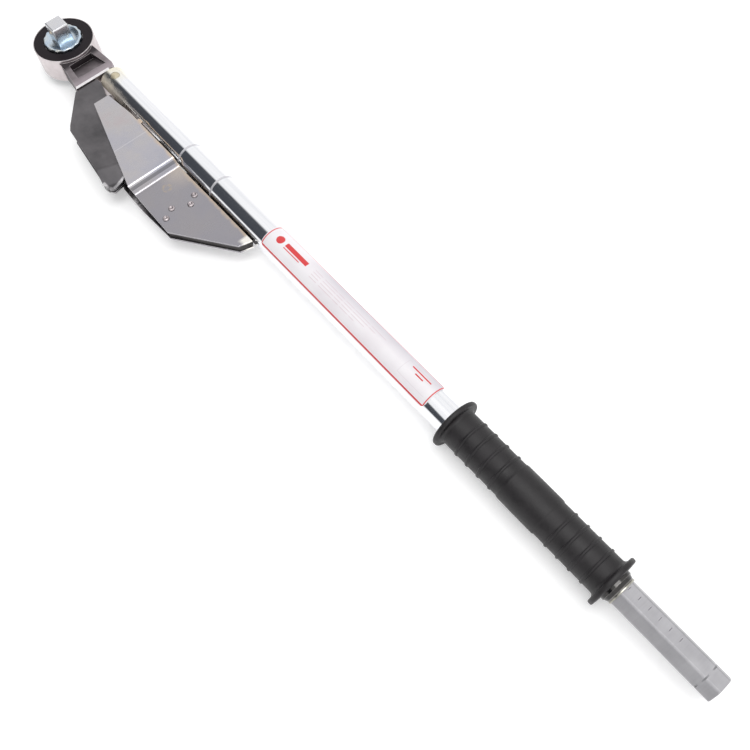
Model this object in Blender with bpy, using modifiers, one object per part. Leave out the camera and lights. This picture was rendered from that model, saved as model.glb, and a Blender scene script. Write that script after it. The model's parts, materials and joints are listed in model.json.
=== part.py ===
"""Break-back ratchet torque wrench with a 3/4 inch square drive.

Plan coordinates: X runs from the head to the handle, Z is the drive axis, and
z = 0 is the flat middle plane of the wrench. The root empty lifts the whole
plan so that the world origin is the centre of the square's end face.
"""

from math import atan2, cos, degrees, hypot, pi, radians, sin, sqrt, tau

import bmesh
import bpy
from mathutils import Matrix, Vector

# ---------------------------------------------------------------- driving dimensions (metres)
GAP = 0.0003

SQUARE = 0.01905
SQUARE_TIP_Z = 0.037
SQUARE_CHAMFER = 0.0014

HEAD_RADIUS = 0.0346
HEAD_HALF = 0.0142
COVER_RADIUS = 0.0334
COVER_BORE = 0.0223
COVER_THICKNESS = 0.0021
GEAR_CAVITY_RADIUS = 0.0243
GEAR_TIP_RADIUS = 0.0238
GEAR_ROOT_RADIUS = 0.0219
GEAR_TEETH = 36
SHANK = 0.0220
DISC_RADIUS = 0.0217
DISC_TOP_Z = 0.0170
DISC_DISH = 0.0024
DETENT_Z = 0.0295
DETENT_BALL_RADIUS = 0.0023
WASHER_THICKNESS = 0.0045
DRIVE_SCREW_RADIUS = 0.0032
DRIVE_BORE_RADIUS = 0.0036

NECK_HALF = 0.0112
NECK_END_X = 0.0740
END_RIB_HALF = 0.0125
END_RIB_START_X = 0.0705
POCKET_FLOOR_Z = 0.0035
PAWL_POCKET_HALF = 0.0075
PAWL_POCKET_END_X = 0.0340
PAWL_TIP_X = 0.0223
PAWL_BACK_X = 0.0290

TUBE_Y = 0.0129
TUBE_RADIUS = 0.0160
TUBE_BORE = 0.0143
TUBE_EDGE = 0.0006
TUBE_START_X = 0.0775
TUBE_END_X = 0.8220
TUBE_SLOT_HALF = 0.0050
TUBE_SLOT_END_X = 0.2720
TUBE_CRIMPS_X = (0.2860, 0.2290)
CRIMP_HALF = 0.0014
CRIMP_DEPTH = 0.0004

FULCRUM_X = 0.0900
PIN_RADIUS = 0.0050
TONGUE_HALF = 0.0044
ROOT_HALF = 0.0077

LEVER_TOP_Z = 0.0110
LEVER_THICKNESS = 0.0025
LEVER_FOLD_SLOPE = 0.38
LEVER_FOLD_RUN = 0.0200
LINK_PIN_X, LINK_PIN_Y = 0.1740, -0.0360
LINK_LENGTH = 0.0950
LINK_PIN_RADIUS = 0.0045
LINK_HALF = 0.0036
LINK_BOSS_HALF = 0.0076
LINK_EYE_RADIUS = 0.0085
OPEN_PIVOT_CLEARANCE = 0.0014

PLUNGER_RADIUS = 0.0139
PLUNGER_FRONT = 0.0115
PLUNGER_BACK = 0.0400
PLUNGER_PIN_RADIUS = 0.0038

SPRING_WIRE = 0.0052
SPRING_MEAN_RADIUS = 0.0108
SPRING_TURNS = 26
FOLLOWER_FACE_X = 0.5880
FOLLOWER_LENGTH = 0.0100
FOLLOWER_CUP_DEPTH = 0.0040
GUIDE_STEM_RADIUS = 0.0060
ROD_RADIUS = 0.0080
NUT_X, NUT_LENGTH = 0.6900, 0.0250

HEX_FLATS = 0.0240
HEX_CORNER_RADIUS = 0.0133
HEX_ROLL = radians(54)
HEX_START_X = 0.7820
HEX_END_X = 0.9300
HEX_GROOVE_X = 0.9160
HEX_CHAMFER = 0.0006

GUARD_TOP_Z = 0.0145
GUARD_REAR_Z = 0.0060
GUARD_THICKNESS = 0.0020
GUARD_STEP_X = 0.2280
GUARD_STEP_RUN = 0.0065
GUARD_CREASE_X = 0.1795
GUARD_CREASE_SLOPE = 0.035
GUARD_RAMP_X = 0.2320
GUARD_RAMP_RUN = 0.0590
GUARD_EDGE_Y = TUBE_Y - TUBE_RADIUS - 0.0012
BRACKET_HALF = GUARD_REAR_Z - GUARD_THICKNESS - GAP
RIVET_RADIUS = 0.0020
RIVET_HEAD_RADIUS = 0.0033
RIVET_HEAD_HEIGHT = 0.0011
UPPER_RIVETS = [(0.2765, -0.0145), (0.2835, -0.0240), (0.2745, -0.0417), (0.2810, -0.0530)]
LOWER_RIVETS = [(0.3080, -0.0240), (0.3340, -0.0150)]

LABEL_START_X, LABEL_END_X = 0.3715, 0.6095
LABEL_HALF_ANGLE = radians(61)
LABEL_GAP = 0.00015
LABEL_THICKNESS = 0.00015

GRIP_START_X, GRIP_END_X = 0.6340, 0.8240
GRIP_BORE = 0.0163
GRIP_RADIUS = 0.0186
GRIP_BARREL_RADIUS = 0.0194
GRIP_BARREL_X = (0.7080, 0.7505)
GRIP_RIB_X = (0.6574, 0.6704, 0.6842, 0.6983, 0.7649, 0.7782, 0.7914, 0.8049)
GRIP_RIB_HEIGHT = 0.0008
GRIP_RIB_HALF = 0.0009
FLANGE_RADIUS = 0.0257
FLANGE_THICKNESS = 0.0062

END_RING_BORE = 0.0136
END_RING_SLEEVE_RADIUS = 0.0140
END_RING_COLLAR_RADIUS = 0.0157
END_RING_X = (0.8080, 0.8325)

TUBE_STEPS = 48
TURNED_STEPS = 32
SHARP_ANGLE = radians(32)

PLUNGER_PIN_X = LINK_PIN_X + sqrt(LINK_LENGTH**2 - (TUBE_Y - LINK_PIN_Y) ** 2)
LINK_ANGLE = atan2(TUBE_Y - LINK_PIN_Y, PLUNGER_PIN_X - LINK_PIN_X)


# ---------------------------------------------------------------- scene and groups
for leftover in list(bpy.data.objects):
    bpy.data.objects.remove(leftover, do_unlink=True)

parts = bpy.data.collections.new("torque_wrench")
cutters = bpy.data.collections.new("cutters")
bpy.context.scene.collection.children.link(parts)
bpy.context.scene.collection.children.link(cutters)


def group(name, location, parent=None):
    """An empty on a joint axis, which its pieces are parented to."""
    empty = bpy.data.objects.new(name, None)
    empty.location = location
    empty.parent = parent
    empty.empty_display_size = 0.02
    parts.objects.link(empty)
    return empty


wrench = group("wrench_midplane", (0, 0, -SQUARE_TIP_Z))
tube_group = group("tube_group", (0, TUBE_Y, 0), wrench)
head_group = group("fulcrum_axis", (FULCRUM_X, TUBE_Y, 0), wrench)
drive_group = group("drive_axis", (0, 0, 0), wrench)
pawl_group = group("pawl_slide_axis", (PAWL_BACK_X, 0, 0), wrench)
detent_group = group("detent_axis", (0, -SQUARE / 2, DETENT_Z), wrench)
link_group = group("link_pin_axis", (LINK_PIN_X, LINK_PIN_Y, 0), wrench)
plunger_group = group("plunger_axis", (PLUNGER_PIN_X, TUBE_Y, 0), wrench)
follower_group = group("follower_axis", (FOLLOWER_FACE_X, TUBE_Y, 0), wrench)
adjuster_group = group("adjuster_axis", (HEX_START_X, TUBE_Y, 0), wrench)


def material(name, colour, roughness, metallic):
    made = bpy.data.materials.new(name)
    made.use_nodes = True
    shader = made.node_tree.nodes["Principled BSDF"]
    shader.inputs["Base Color"].default_value = (*colour, 1)
    shader.inputs["Roughness"].default_value = roughness
    shader.inputs["Metallic"].default_value = metallic
    made.diffuse_color = (*colour, 1)
    return made


CHROME = (0.86, 0.87, 0.89), 0.12, 1.0
SATIN_STEEL = (0.62, 0.60, 0.60), 0.38, 1.0
DARK_STEEL = (0.16, 0.15, 0.15), 0.42, 0.9
ZINC = (0.62, 0.60, 0.58), 0.34, 1.0
BRIGHT_ZINC = (0.78, 0.80, 0.80), 0.22, 1.0
BLACK_PLASTIC = (0.012, 0.012, 0.013), 0.45, 0.0
RUBBER = (0.018, 0.018, 0.020), 0.62, 0.0
ALUMINIUM = (0.62, 0.62, 0.64), 0.45, 0.9
SPRING_STEEL = (0.30, 0.30, 0.31), 0.40, 1.0
FILM = (0.90, 0.86, 0.88), 0.30, 0.0
PIN_STEEL = (0.58, 0.52, 0.45), 0.35, 1.0


# ---------------------------------------------------------------- building helpers
def adopt(obj, look, owner):
    """Gives a piece its material, its parent and the smooth shading of round work."""
    obj.data.materials.append(material(obj.name, *look))
    obj.location = Vector(obj.location) - owner.location
    obj.parent = owner
    if obj.type == "MESH":
        obj.data.shade_smooth()
        obj.data.set_sharp_from_angle(angle=SHARP_ANGLE)


def hide(obj):
    """Turns a solid into a helper of a Boolean: placed in the plan, not a piece."""
    obj.parent = wrench
    obj.hide_render = True
    obj.display_type = "WIRE"
    for home in list(obj.users_collection):
        home.objects.unlink(obj)
    cutters.objects.link(obj)
    return obj


def from_bmesh(name, bm, location=(0, 0, 0)):
    mesh = bpy.data.meshes.new(name)
    bmesh.ops.recalc_face_normals(bm, faces=bm.faces[:])
    bm.to_mesh(mesh)
    bm.free()
    obj = bpy.data.objects.new(name, mesh)
    obj.location = location
    parts.objects.link(obj)
    return obj


def box(name, low, high):
    """A block between two corners of the plan."""
    bm = bmesh.new()
    bmesh.ops.create_cube(bm, size=1)
    centre = (Vector(low) + Vector(high)) / 2
    bmesh.ops.scale(bm, vec=Vector(high) - Vector(low), verts=bm.verts[:])
    return from_bmesh(name, bm, centre)


def cylinder(name, radius, low, high, steps=TURNED_STEPS):
    """A round bar from one point to another."""
    start, end = Vector(low), Vector(high)
    bm = bmesh.new()
    bmesh.ops.create_cone(
        bm, cap_ends=True, segments=steps, radius1=radius, radius2=radius, depth=(end - start).length
    )
    obj = from_bmesh(name, bm, (start + end) / 2)
    obj.rotation_euler = (end - start).to_track_quat("Z", "Y").to_euler()
    return obj


def prism(name, outline, low_z, high_z, holes=()):
    """A flat outline with its holes, extruded between two heights."""
    curve = bpy.data.curves.new(name, "CURVE")
    curve.dimensions = "2D"
    curve.fill_mode = "BOTH"
    curve.extrude = (high_z - low_z) / 2
    for loop in (outline, *holes):
        spline = curve.splines.new("POLY")
        spline.points.add(len(loop) - 1)
        for point, (x, y) in zip(spline.points, loop):
            point.co = (x, y, 0, 1)
        spline.use_cyclic_u = True
    source = bpy.data.objects.new(name + "_outline", curve)
    source.location = (0, 0, (low_z + high_z) / 2)
    parts.objects.link(source)
    return as_mesh(source, name)


def as_mesh(source, name):
    """The mesh of a curve, with its caps welded, in place of the curve."""
    bpy.context.view_layer.update()
    graph = bpy.context.evaluated_depsgraph_get()
    mesh = bpy.data.meshes.new_from_object(source.evaluated_get(graph))
    bm = bmesh.new()
    bm.from_mesh(mesh)
    bmesh.ops.remove_doubles(bm, verts=bm.verts[:], dist=1e-6)
    bmesh.ops.recalc_face_normals(bm, faces=bm.faces[:])
    bm.to_mesh(mesh)
    bm.free()
    obj = bpy.data.objects.new(name, mesh)
    obj.matrix_world = source.matrix_world.copy()
    bpy.data.objects.remove(source, do_unlink=True)
    parts.objects.link(obj)
    return obj


def turned(name, profile, steps=TURNED_STEPS, closed=False, along_x=False, location=(0, 0, 0)):
    """A turned piece: the profile is (radius, height), down its outer side."""
    bm = bmesh.new()
    verts = [bm.verts.new((radius, 0, height)) for radius, height in profile]
    ends = verts[1:] + verts[:1] if closed else verts[1:]
    for a, b in zip(verts, ends):
        bm.edges.new((a, b))
    mesh = bpy.data.meshes.new(name)
    bm.to_mesh(mesh)
    bm.free()
    obj = bpy.data.objects.new(name, mesh)
    parts.objects.link(obj)
    obj.location = location
    if along_x:
        obj.rotation_euler = (0, pi / 2, 0)
    screw = obj.modifiers.new("Screw", "SCREW")
    screw.steps = screw.render_steps = steps
    screw.use_merge_vertices = True
    screw.merge_threshold = 1e-6
    screw.use_smooth_shade = True
    return obj


def combine(target, helper, operation="DIFFERENCE"):
    """Cuts, joins or intersects a piece with a helper solid."""
    boolean = target.modifiers.new(helper.name, "BOOLEAN")
    boolean.operation = operation
    boolean.solver = "EXACT"
    boolean.object = hide(helper)


def arc(centre, radius, start, end, count):
    """Points along an arc, angles in degrees."""
    step = (end - start) / (count - 1)
    turns = [radians(start + step * k) for k in range(count)]
    return [(centre[0] + radius * cos(a), centre[1] + radius * sin(a)) for a in turns]


def circle(centre, radius, count=TURNED_STEPS):
    return arc(centre, radius, 0, 360 * (count - 1) / count, count)


def coil(name, start, end, mean_radius, wire, turns, per_turn, centre, axis, sides=1):
    """A compression spring with closed ends, from start to end along X or Y."""
    curve = bpy.data.curves.new(name, "CURVE")
    curve.dimensions = "3D"
    curve.bevel_depth = wire / 2
    curve.bevel_resolution = sides
    curve.use_fill_caps = True
    spline = curve.splines.new("POLY")
    count = turns * per_turn
    spline.points.add(count)
    length = abs(end - start) - wire
    dead = 1.05 * wire
    for k, point in enumerate(spline.points):
        turn = k / per_turn
        if turn < 1:
            travel = dead * turn
        elif turn > turns - 1:
            travel = length - dead * (turns - turn)
        else:
            travel = dead + (length - 2 * dead) * (turn - 1) / (turns - 2)
        along = start + (wire / 2 + travel) * (1 if end > start else -1)
        u, v = mean_radius * cos(tau * turn), mean_radius * sin(tau * turn)
        if axis == "X":
            point.co = (along, centre[0] + u, centre[1] + v, 1)
        else:
            point.co = (centre[0] + u, along, centre[1] + v, 1)
    source = bpy.data.objects.new(name + "_wire", curve)
    parts.objects.link(source)
    return as_mesh(source, name)


def bent_sheet(name, outline, creases, top, thickness, side):
    """A folded sheet. Beyond each crease (point, direction of fall, slope) it drops by the slope.

    side is 1 for the sheet above the middle plane and -1 for its twin below it.
    """
    bm = bmesh.new()
    bm.faces.new([bm.verts.new((x, y, 0)) for x, y in outline])
    bmesh.ops.recalc_face_normals(bm, faces=bm.faces[:])
    if bm.faces[:][0].normal.z < 0:
        bmesh.ops.reverse_faces(bm, faces=bm.faces[:])
    for point, fall, _ in creases:
        bmesh.ops.bisect_plane(
            bm,
            geom=bm.verts[:] + bm.edges[:] + bm.faces[:],
            plane_co=(*point, 0),
            plane_no=(*fall, 0),
            dist=1e-6,
        )
    for vert in bm.verts:
        height = top
        for (px, py), (fx, fy), slope in creases:
            height -= slope * max(0, (vert.co.x - px) * fx + (vert.co.y - py) * fy)
        vert.co.z = side * height
    mesh = bpy.data.meshes.new(name)
    bm.to_mesh(mesh)
    bm.free()
    obj = bpy.data.objects.new(name, mesh)
    parts.objects.link(obj)
    solidify = obj.modifiers.new("Solidify", "SOLIDIFY")
    solidify.thickness = thickness
    solidify.offset = -side
    solidify.use_even_offset = True
    return obj


def unit(x, y):
    size = hypot(x, y)
    return x / size, y / size


# ---------------------------------------------------------------- ratchet head
def ratchet_head():
    """One forging: ring, pocketed neck, and the lever root that enters the tube's slot."""
    neck_outline = [
        (0.0180, -0.0235),
        (0.0300, -0.0225),
        (0.0400, -0.0232),
        (0.0660, -0.0266),
        (0.0715, -0.0282),
        (0.0715, 0.0190),
        (0.0680, 0.0225),
        (0.0645, 0.0232),
        (0.0400, 0.0215),
        (0.0300, 0.0208),
        (0.0180, 0.0215),
    ]
    head = prism("ratchet_head", neck_outline, -NECK_HALF, NECK_HALF)
    rib_outline = [
        (END_RIB_START_X, -0.0279),
        (NECK_END_X, -0.0290),
        (NECK_END_X, 0.0146),
        (END_RIB_START_X, 0.0150),
    ]
    combine(head, prism("end_rib", rib_outline, -END_RIB_HALF, END_RIB_HALF), "UNION")
    ring = cylinder("ring", HEAD_RADIUS, (0, 0, -HEAD_HALF), (0, 0, HEAD_HALF), 64)
    combine(head, ring, "UNION")

    root_outline = [
        (0.070, -0.0280),
        (0.0765, -0.0295),
        (0.112, -0.0575),
        (0.124, -0.0610),
        (0.124, -0.0165),
        (0.098, -0.0075),
        (0.088, -0.0050),
        (0.070, -0.0050),
    ]
    combine(head, prism("lever_root", root_outline, -ROOT_HALF, ROOT_HALF), "UNION")
    tongue_outline = [
        (0.070, -0.0080),
        (0.096, -0.0120),
        (0.101, 0.0060),
        *arc((FULCRUM_X, TUBE_Y), 0.0105, -20, 90, 8),
        (0.079, 0.0225),
        (0.070, 0.0215),
    ]
    combine(head, prism("tongue", tongue_outline, -TONGUE_HALF, TONGUE_HALF), "UNION")
    hub = cylinder("hub", 0.0088, (FULCRUM_X, TUBE_Y, -0.0105), (FULCRUM_X, TUBE_Y, 0.0105))
    combine(head, hub, "UNION")

    combine(head, cylinder("gear_cavity", GEAR_CAVITY_RADIUS, (0, 0, -0.02), (0, 0, 0.02), 48))
    recess_floor = HEAD_HALF - COVER_THICKNESS - GAP
    for side in (-1, 1):
        recess = cylinder(
            "cover_recess", COVER_RADIUS + GAP, (0, 0, side * recess_floor), (0, 0, side * 0.02), 64
        )
        combine(head, recess)
        pocket = [(0.0372, -0.0160), (0.0600, -0.0185), (0.0610, 0.0172), (0.0365, 0.0130)]
        low, high = sorted((side * POCKET_FLOOR_Z, side * 0.02))
        combine(head, prism("neck_pocket", pocket, low, high))
    pawl_room = box(
        "pawl_room",
        (0.015, -PAWL_POCKET_HALF, -PAWL_POCKET_HALF),
        (PAWL_POCKET_END_X, PAWL_POCKET_HALF, PAWL_POCKET_HALF),
    )
    combine(head, pawl_room)
    bore = PIN_RADIUS + GAP
    combine(head, cylinder("pin_bore", bore, (FULCRUM_X, TUBE_Y, -0.02), (FULCRUM_X, TUBE_Y, 0.02)))
    adopt(head, SATIN_STEEL, head_group)


def cover_ring(name, side):
    outer, inner = HEAD_HALF * side, (HEAD_HALF - COVER_THICKNESS) * side
    low, high = sorted((outer, inner))
    ring = prism(name, circle((0, 0), COVER_RADIUS, 64), low, high, [circle((0, 0), COVER_BORE, 48)])
    adopt(ring, BLACK_PLASTIC, head_group)


def gear_outline():
    points = []
    pitch = tau / GEAR_TEETH
    for tooth in range(GEAR_TEETH):
        for share, radius in (
            (0.25, GEAR_ROOT_RADIUS),
            (0.42, GEAR_TIP_RADIUS),
            (0.58, GEAR_TIP_RADIUS),
            (0.75, GEAR_ROOT_RADIUS),
        ):
            angle = pitch * (tooth + share)
            points.append((radius * cos(angle), radius * sin(angle)))
    return points


def square_loop(side):
    half = side / 2
    return [(-half, -half), (half, -half), (half, half), (-half, half)]


def ratchet_gear():
    half = HEAD_HALF - COVER_THICKNESS - 2 * GAP
    gear = prism("ratchet_gear", gear_outline(), -half, half, [square_loop(SHANK + 2 * GAP)])
    adopt(gear, SPRING_STEEL, drive_group)


def square_drive():
    """Dished disc with the square in front and a square shank through the gear."""
    base = HEAD_HALF - COVER_THICKNESS + GAP
    profile = [
        (0, DISC_TOP_Z - DISC_DISH),
        (0.0130, DISC_TOP_Z - DISC_DISH),
        (0.0188, DISC_TOP_Z),
        (DISC_RADIUS - 0.0009, DISC_TOP_Z),
        (DISC_RADIUS, DISC_TOP_Z - 0.0009),
        (DISC_RADIUS, base),
        (0, base),
    ]
    drive = turned("square_drive", profile, steps=48)
    bm = bmesh.new()
    bmesh.ops.create_cube(bm, size=1)
    tall = SQUARE_TIP_Z - base
    bmesh.ops.scale(bm, vec=(SQUARE, SQUARE, tall), verts=bm.verts[:])
    rim = [e for e in bm.edges if e.verts[0].co.z + e.verts[1].co.z > tall * 0.9]
    bmesh.ops.bevel(bm, geom=rim, offset=SQUARE_CHAMFER, segments=1, affect="EDGES")
    post = from_bmesh("square_post", bm, (0, 0, base + tall / 2))
    combine(drive, post, "UNION")
    shank_end = -(HEAD_HALF - COVER_THICKNESS)
    half = SHANK / 2
    combine(drive, box("shank", (-half, -half, shank_end), (half, half, base + 0.001)), "UNION")
    combine(drive, cylinder("screw_hole", DRIVE_BORE_RADIUS, (0, 0, shank_end - 0.005), (0, 0, 0.001), 16))
    hole_ends = (0, -0.0015, DETENT_Z), (0, -0.02, DETENT_Z)
    combine(drive, cylinder("detent_hole", DETENT_BALL_RADIUS + 0.0004, *hole_ends, 16))
    adopt(drive, BRIGHT_ZINC, drive_group)


def drive_fasteners():
    """Washer and screw that hold the drive from behind."""
    face = -(HEAD_HALF - COVER_THICKNESS + GAP)
    back = face - WASHER_THICKNESS
    bore = 0.0044
    washer = turned(
        "drive_washer",
        [(DISC_RADIUS, face), (DISC_RADIUS, back), (bore, back), (bore, face)],
        steps=40,
        closed=True,
    )
    adopt(washer, BRIGHT_ZINC, drive_group)
    seat = back - GAP
    screw = turned(
        "drive_screw",
        [
            (0, -0.0005),
            (DRIVE_SCREW_RADIUS, -0.0005),
            (DRIVE_SCREW_RADIUS, seat),
            (0.0070, seat),
            (0.0070, seat - 0.0030),
            (0.0060, seat - 0.0040),
            (0, seat - 0.0040),
        ],
        steps=24,
    )
    socket = cylinder("hex_socket", 0.0030, (0, 0, seat - 0.006), (0, 0, seat - 0.001), 6)
    combine(screw, socket)
    adopt(screw, DARK_STEEL, drive_group)


def detent():
    """Spring ball that holds the socket on the square."""
    bm = bmesh.new()
    bmesh.ops.create_uvsphere(bm, u_segments=16, v_segments=8, radius=DETENT_BALL_RADIUS)
    ball = from_bmesh("detent_ball", bm, (0, -0.0083, DETENT_Z))
    adopt(ball, CHROME, detent_group)
    spring = coil("detent_spring", -0.0018, -0.0057, 0.0016, 0.0006, 5, 8, (0, DETENT_Z), "Y", 0)
    adopt(spring, SPRING_STEEL, drive_group)


def pawl():
    half = PAWL_POCKET_HALF - 2 * GAP
    outline = [
        (PAWL_TIP_X, -0.0006),
        (0.0246, -0.0019),
        (0.0252, -half),
        (PAWL_BACK_X, -half),
        (PAWL_BACK_X, half),
        (0.0252, half),
        (0.0246, 0.0019),
        (PAWL_TIP_X, 0.0006),
    ]
    adopt(prism("pawl", outline, -half, half), SPRING_STEEL, pawl_group)
    spring = coil(
        "pawl_spring", PAWL_BACK_X + GAP, PAWL_POCKET_END_X - GAP, 0.0030, 0.0007, 4, 10, (0, 0), "X", 0
    )
    adopt(spring, SPRING_STEEL, head_group)


# ---------------------------------------------------------------- lever, link and plunger
def lever_plate(name, side):
    """Dark side plate of the lever. Its rear end folds towards the middle plane."""
    outline = [
        (NECK_END_X + 0.0012, -0.0315),
        (0.1125, -0.0615),
        (0.1185, -0.0652),
        (0.1820, -0.0732),
        (0.1990, -0.0773),
        (0.2055, -0.0764),
        (0.2116, -0.0724),
        (0.2088, -0.0594),
        (0.2000, -0.0420),
        (0.1900, -0.0270),
        (0.1650, -0.0180),
        (0.1040, -0.0090),
        (0.0840, -0.0030),
        (NECK_END_X + 0.0012, -0.0030),
    ]
    fall = unit(19.0, -7.4)
    start = 0.1828, -0.0733
    end = start[0] + LEVER_FOLD_RUN * fall[0], start[1] + LEVER_FOLD_RUN * fall[1]
    creases = [(start, fall, LEVER_FOLD_SLOPE), (end, fall, -LEVER_FOLD_SLOPE)]
    plate = bent_sheet(name, outline, creases, LEVER_TOP_Z, LEVER_THICKNESS, side)
    hole = cylinder(
        name + "_hole",
        LINK_PIN_RADIUS + GAP,
        (LINK_PIN_X, LINK_PIN_Y, 0.002 * side),
        (LINK_PIN_X, LINK_PIN_Y, 0.02 * side),
        24,
    )
    combine(plate, hole)
    adopt(plate, DARK_STEEL, head_group)


def link_pin():
    half = LEVER_TOP_Z
    ends = (LINK_PIN_X, LINK_PIN_Y, -half), (LINK_PIN_X, LINK_PIN_Y, half)
    adopt(cylinder("link_pin", LINK_PIN_RADIUS, *ends, 24), PIN_STEEL, head_group)


def toggle_link():
    """Link from the lever's pin to the plunger's, with a boss between the lever plates."""
    heading = degrees(LINK_ANGLE)
    near, far = (LINK_PIN_X, LINK_PIN_Y), (PLUNGER_PIN_X, TUBE_Y)
    outline = arc(near, LINK_EYE_RADIUS, heading + 90, heading + 270, 13)
    outline += arc(far, LINK_EYE_RADIUS, heading - 90, heading + 90, 13)
    eye = circle(far, PLUNGER_PIN_RADIUS + OPEN_PIVOT_CLEARANCE, 24)
    link = prism("toggle_link", outline, -LINK_HALF, LINK_HALF, [eye])
    boss_ends = (*near, -LINK_BOSS_HALF), (*near, LINK_BOSS_HALF)
    combine(link, cylinder("boss", LINK_EYE_RADIUS - 0.0003, *boss_ends), "UNION")
    through = (*near, -0.02), (*near, 0.02)
    combine(link, cylinder("link_bore", LINK_PIN_RADIUS + GAP, *through, 24))
    adopt(link, SATIN_STEEL, link_group)


def plunger():
    """Round slider in the tube, forked for the link, with a stem inside the spring."""
    front, back = -PLUNGER_FRONT, PLUNGER_BACK
    body = turned(
        "plunger",
        [
            (0, back + 0.030),
            (0.0050, back + 0.030),
            (GUIDE_STEM_RADIUS, back + 0.028),
            (GUIDE_STEM_RADIUS, back),
            (PLUNGER_RADIUS, back),
            (PLUNGER_RADIUS, front + 0.002),
            (PLUNGER_RADIUS - 0.002, front),
            (0, front),
        ],
        along_x=True,
        location=(PLUNGER_PIN_X, TUBE_Y, 0),
    )
    fork = box(
        "fork_slot",
        (PLUNGER_PIN_X + front - 0.005, TUBE_Y - 0.02, -LINK_HALF - 2 * GAP),
        (PLUNGER_PIN_X + 0.0115, TUBE_Y + 0.0100, LINK_HALF + 2 * GAP),
    )
    combine(body, fork)
    pin_line = (PLUNGER_PIN_X, TUBE_Y, -0.02), (PLUNGER_PIN_X, TUBE_Y, 0.02)
    combine(body, cylinder("plunger_bore", PLUNGER_PIN_RADIUS + GAP, *pin_line, 20))
    adopt(body, SATIN_STEEL, plunger_group)
    half = 0.0130
    ends = (PLUNGER_PIN_X, TUBE_Y, -half), (PLUNGER_PIN_X, TUBE_Y, half)
    adopt(cylinder("plunger_pin", PLUNGER_PIN_RADIUS, *ends, 20), PIN_STEEL, plunger_group)


# ---------------------------------------------------------------- tube and what is inside it
def main_tube():
    crimps = []
    for x in TUBE_CRIMPS_X:
        crimps += [
            (TUBE_RADIUS, x + CRIMP_HALF),
            (TUBE_RADIUS - CRIMP_DEPTH, x + CRIMP_HALF / 3),
            (TUBE_RADIUS - CRIMP_DEPTH, x - CRIMP_HALF / 3),
            (TUBE_RADIUS, x - CRIMP_HALF),
        ]
    tube = turned(
        "main_tube",
        [
            (TUBE_RADIUS - TUBE_EDGE, TUBE_END_X),
            (TUBE_RADIUS, TUBE_END_X - TUBE_EDGE),
            *crimps,
            (TUBE_RADIUS, TUBE_START_X + TUBE_EDGE),
            (TUBE_RADIUS - TUBE_EDGE, TUBE_START_X),
            (TUBE_BORE, TUBE_START_X),
            (TUBE_BORE, TUBE_END_X),
        ],
        steps=TUBE_STEPS,
        closed=True,
        along_x=True,
        location=(0, TUBE_Y, 0),
    )
    slot = box(
        "side_slot",
        (TUBE_START_X - 0.01, TUBE_Y - 0.03, -TUBE_SLOT_HALF),
        (TUBE_SLOT_END_X, TUBE_Y - 0.002, TUBE_SLOT_HALF),
    )
    combine(tube, slot)
    line = (FULCRUM_X, TUBE_Y, -0.02), (FULCRUM_X, TUBE_Y, 0.02)
    combine(tube, cylinder("fulcrum_holes", PIN_RADIUS + GAP, *line, 24))
    adopt(tube, CHROME, tube_group)


def fulcrum_pin():
    half = TUBE_RADIUS - 0.0004
    ends = (FULCRUM_X, TUBE_Y, -half), (FULCRUM_X, TUBE_Y, half)
    adopt(cylinder("fulcrum_pin", PIN_RADIUS, *ends, 24), PIN_STEEL, tube_group)


def main_spring():
    start = PLUNGER_PIN_X + PLUNGER_BACK + GAP
    spring = coil(
        "main_spring",
        start,
        FOLLOWER_FACE_X - GAP,
        SPRING_MEAN_RADIUS,
        SPRING_WIRE,
        SPRING_TURNS,
        12,
        (TUBE_Y, 0),
        "X",
    )
    adopt(spring, SPRING_STEEL, tube_group)


def spring_follower():
    """Seat behind the spring, with a guide stem in front and a cup for the screw."""
    face, back = 0.0, FOLLOWER_LENGTH
    follower = turned(
        "spring_follower",
        [
            (ROD_RADIUS + 0.0005, back),
            (PLUNGER_RADIUS, back),
            (PLUNGER_RADIUS, face),
            (GUIDE_STEM_RADIUS, face),
            (GUIDE_STEM_RADIUS, face - 0.020),
            (0, face - 0.020),
            (0, back - FOLLOWER_CUP_DEPTH),
            (ROD_RADIUS + 0.0005, back - FOLLOWER_CUP_DEPTH),
        ],
        closed=True,
        along_x=True,
        location=(FOLLOWER_FACE_X, TUBE_Y, 0),
    )
    adopt(follower, SATIN_STEEL, follower_group)


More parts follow.
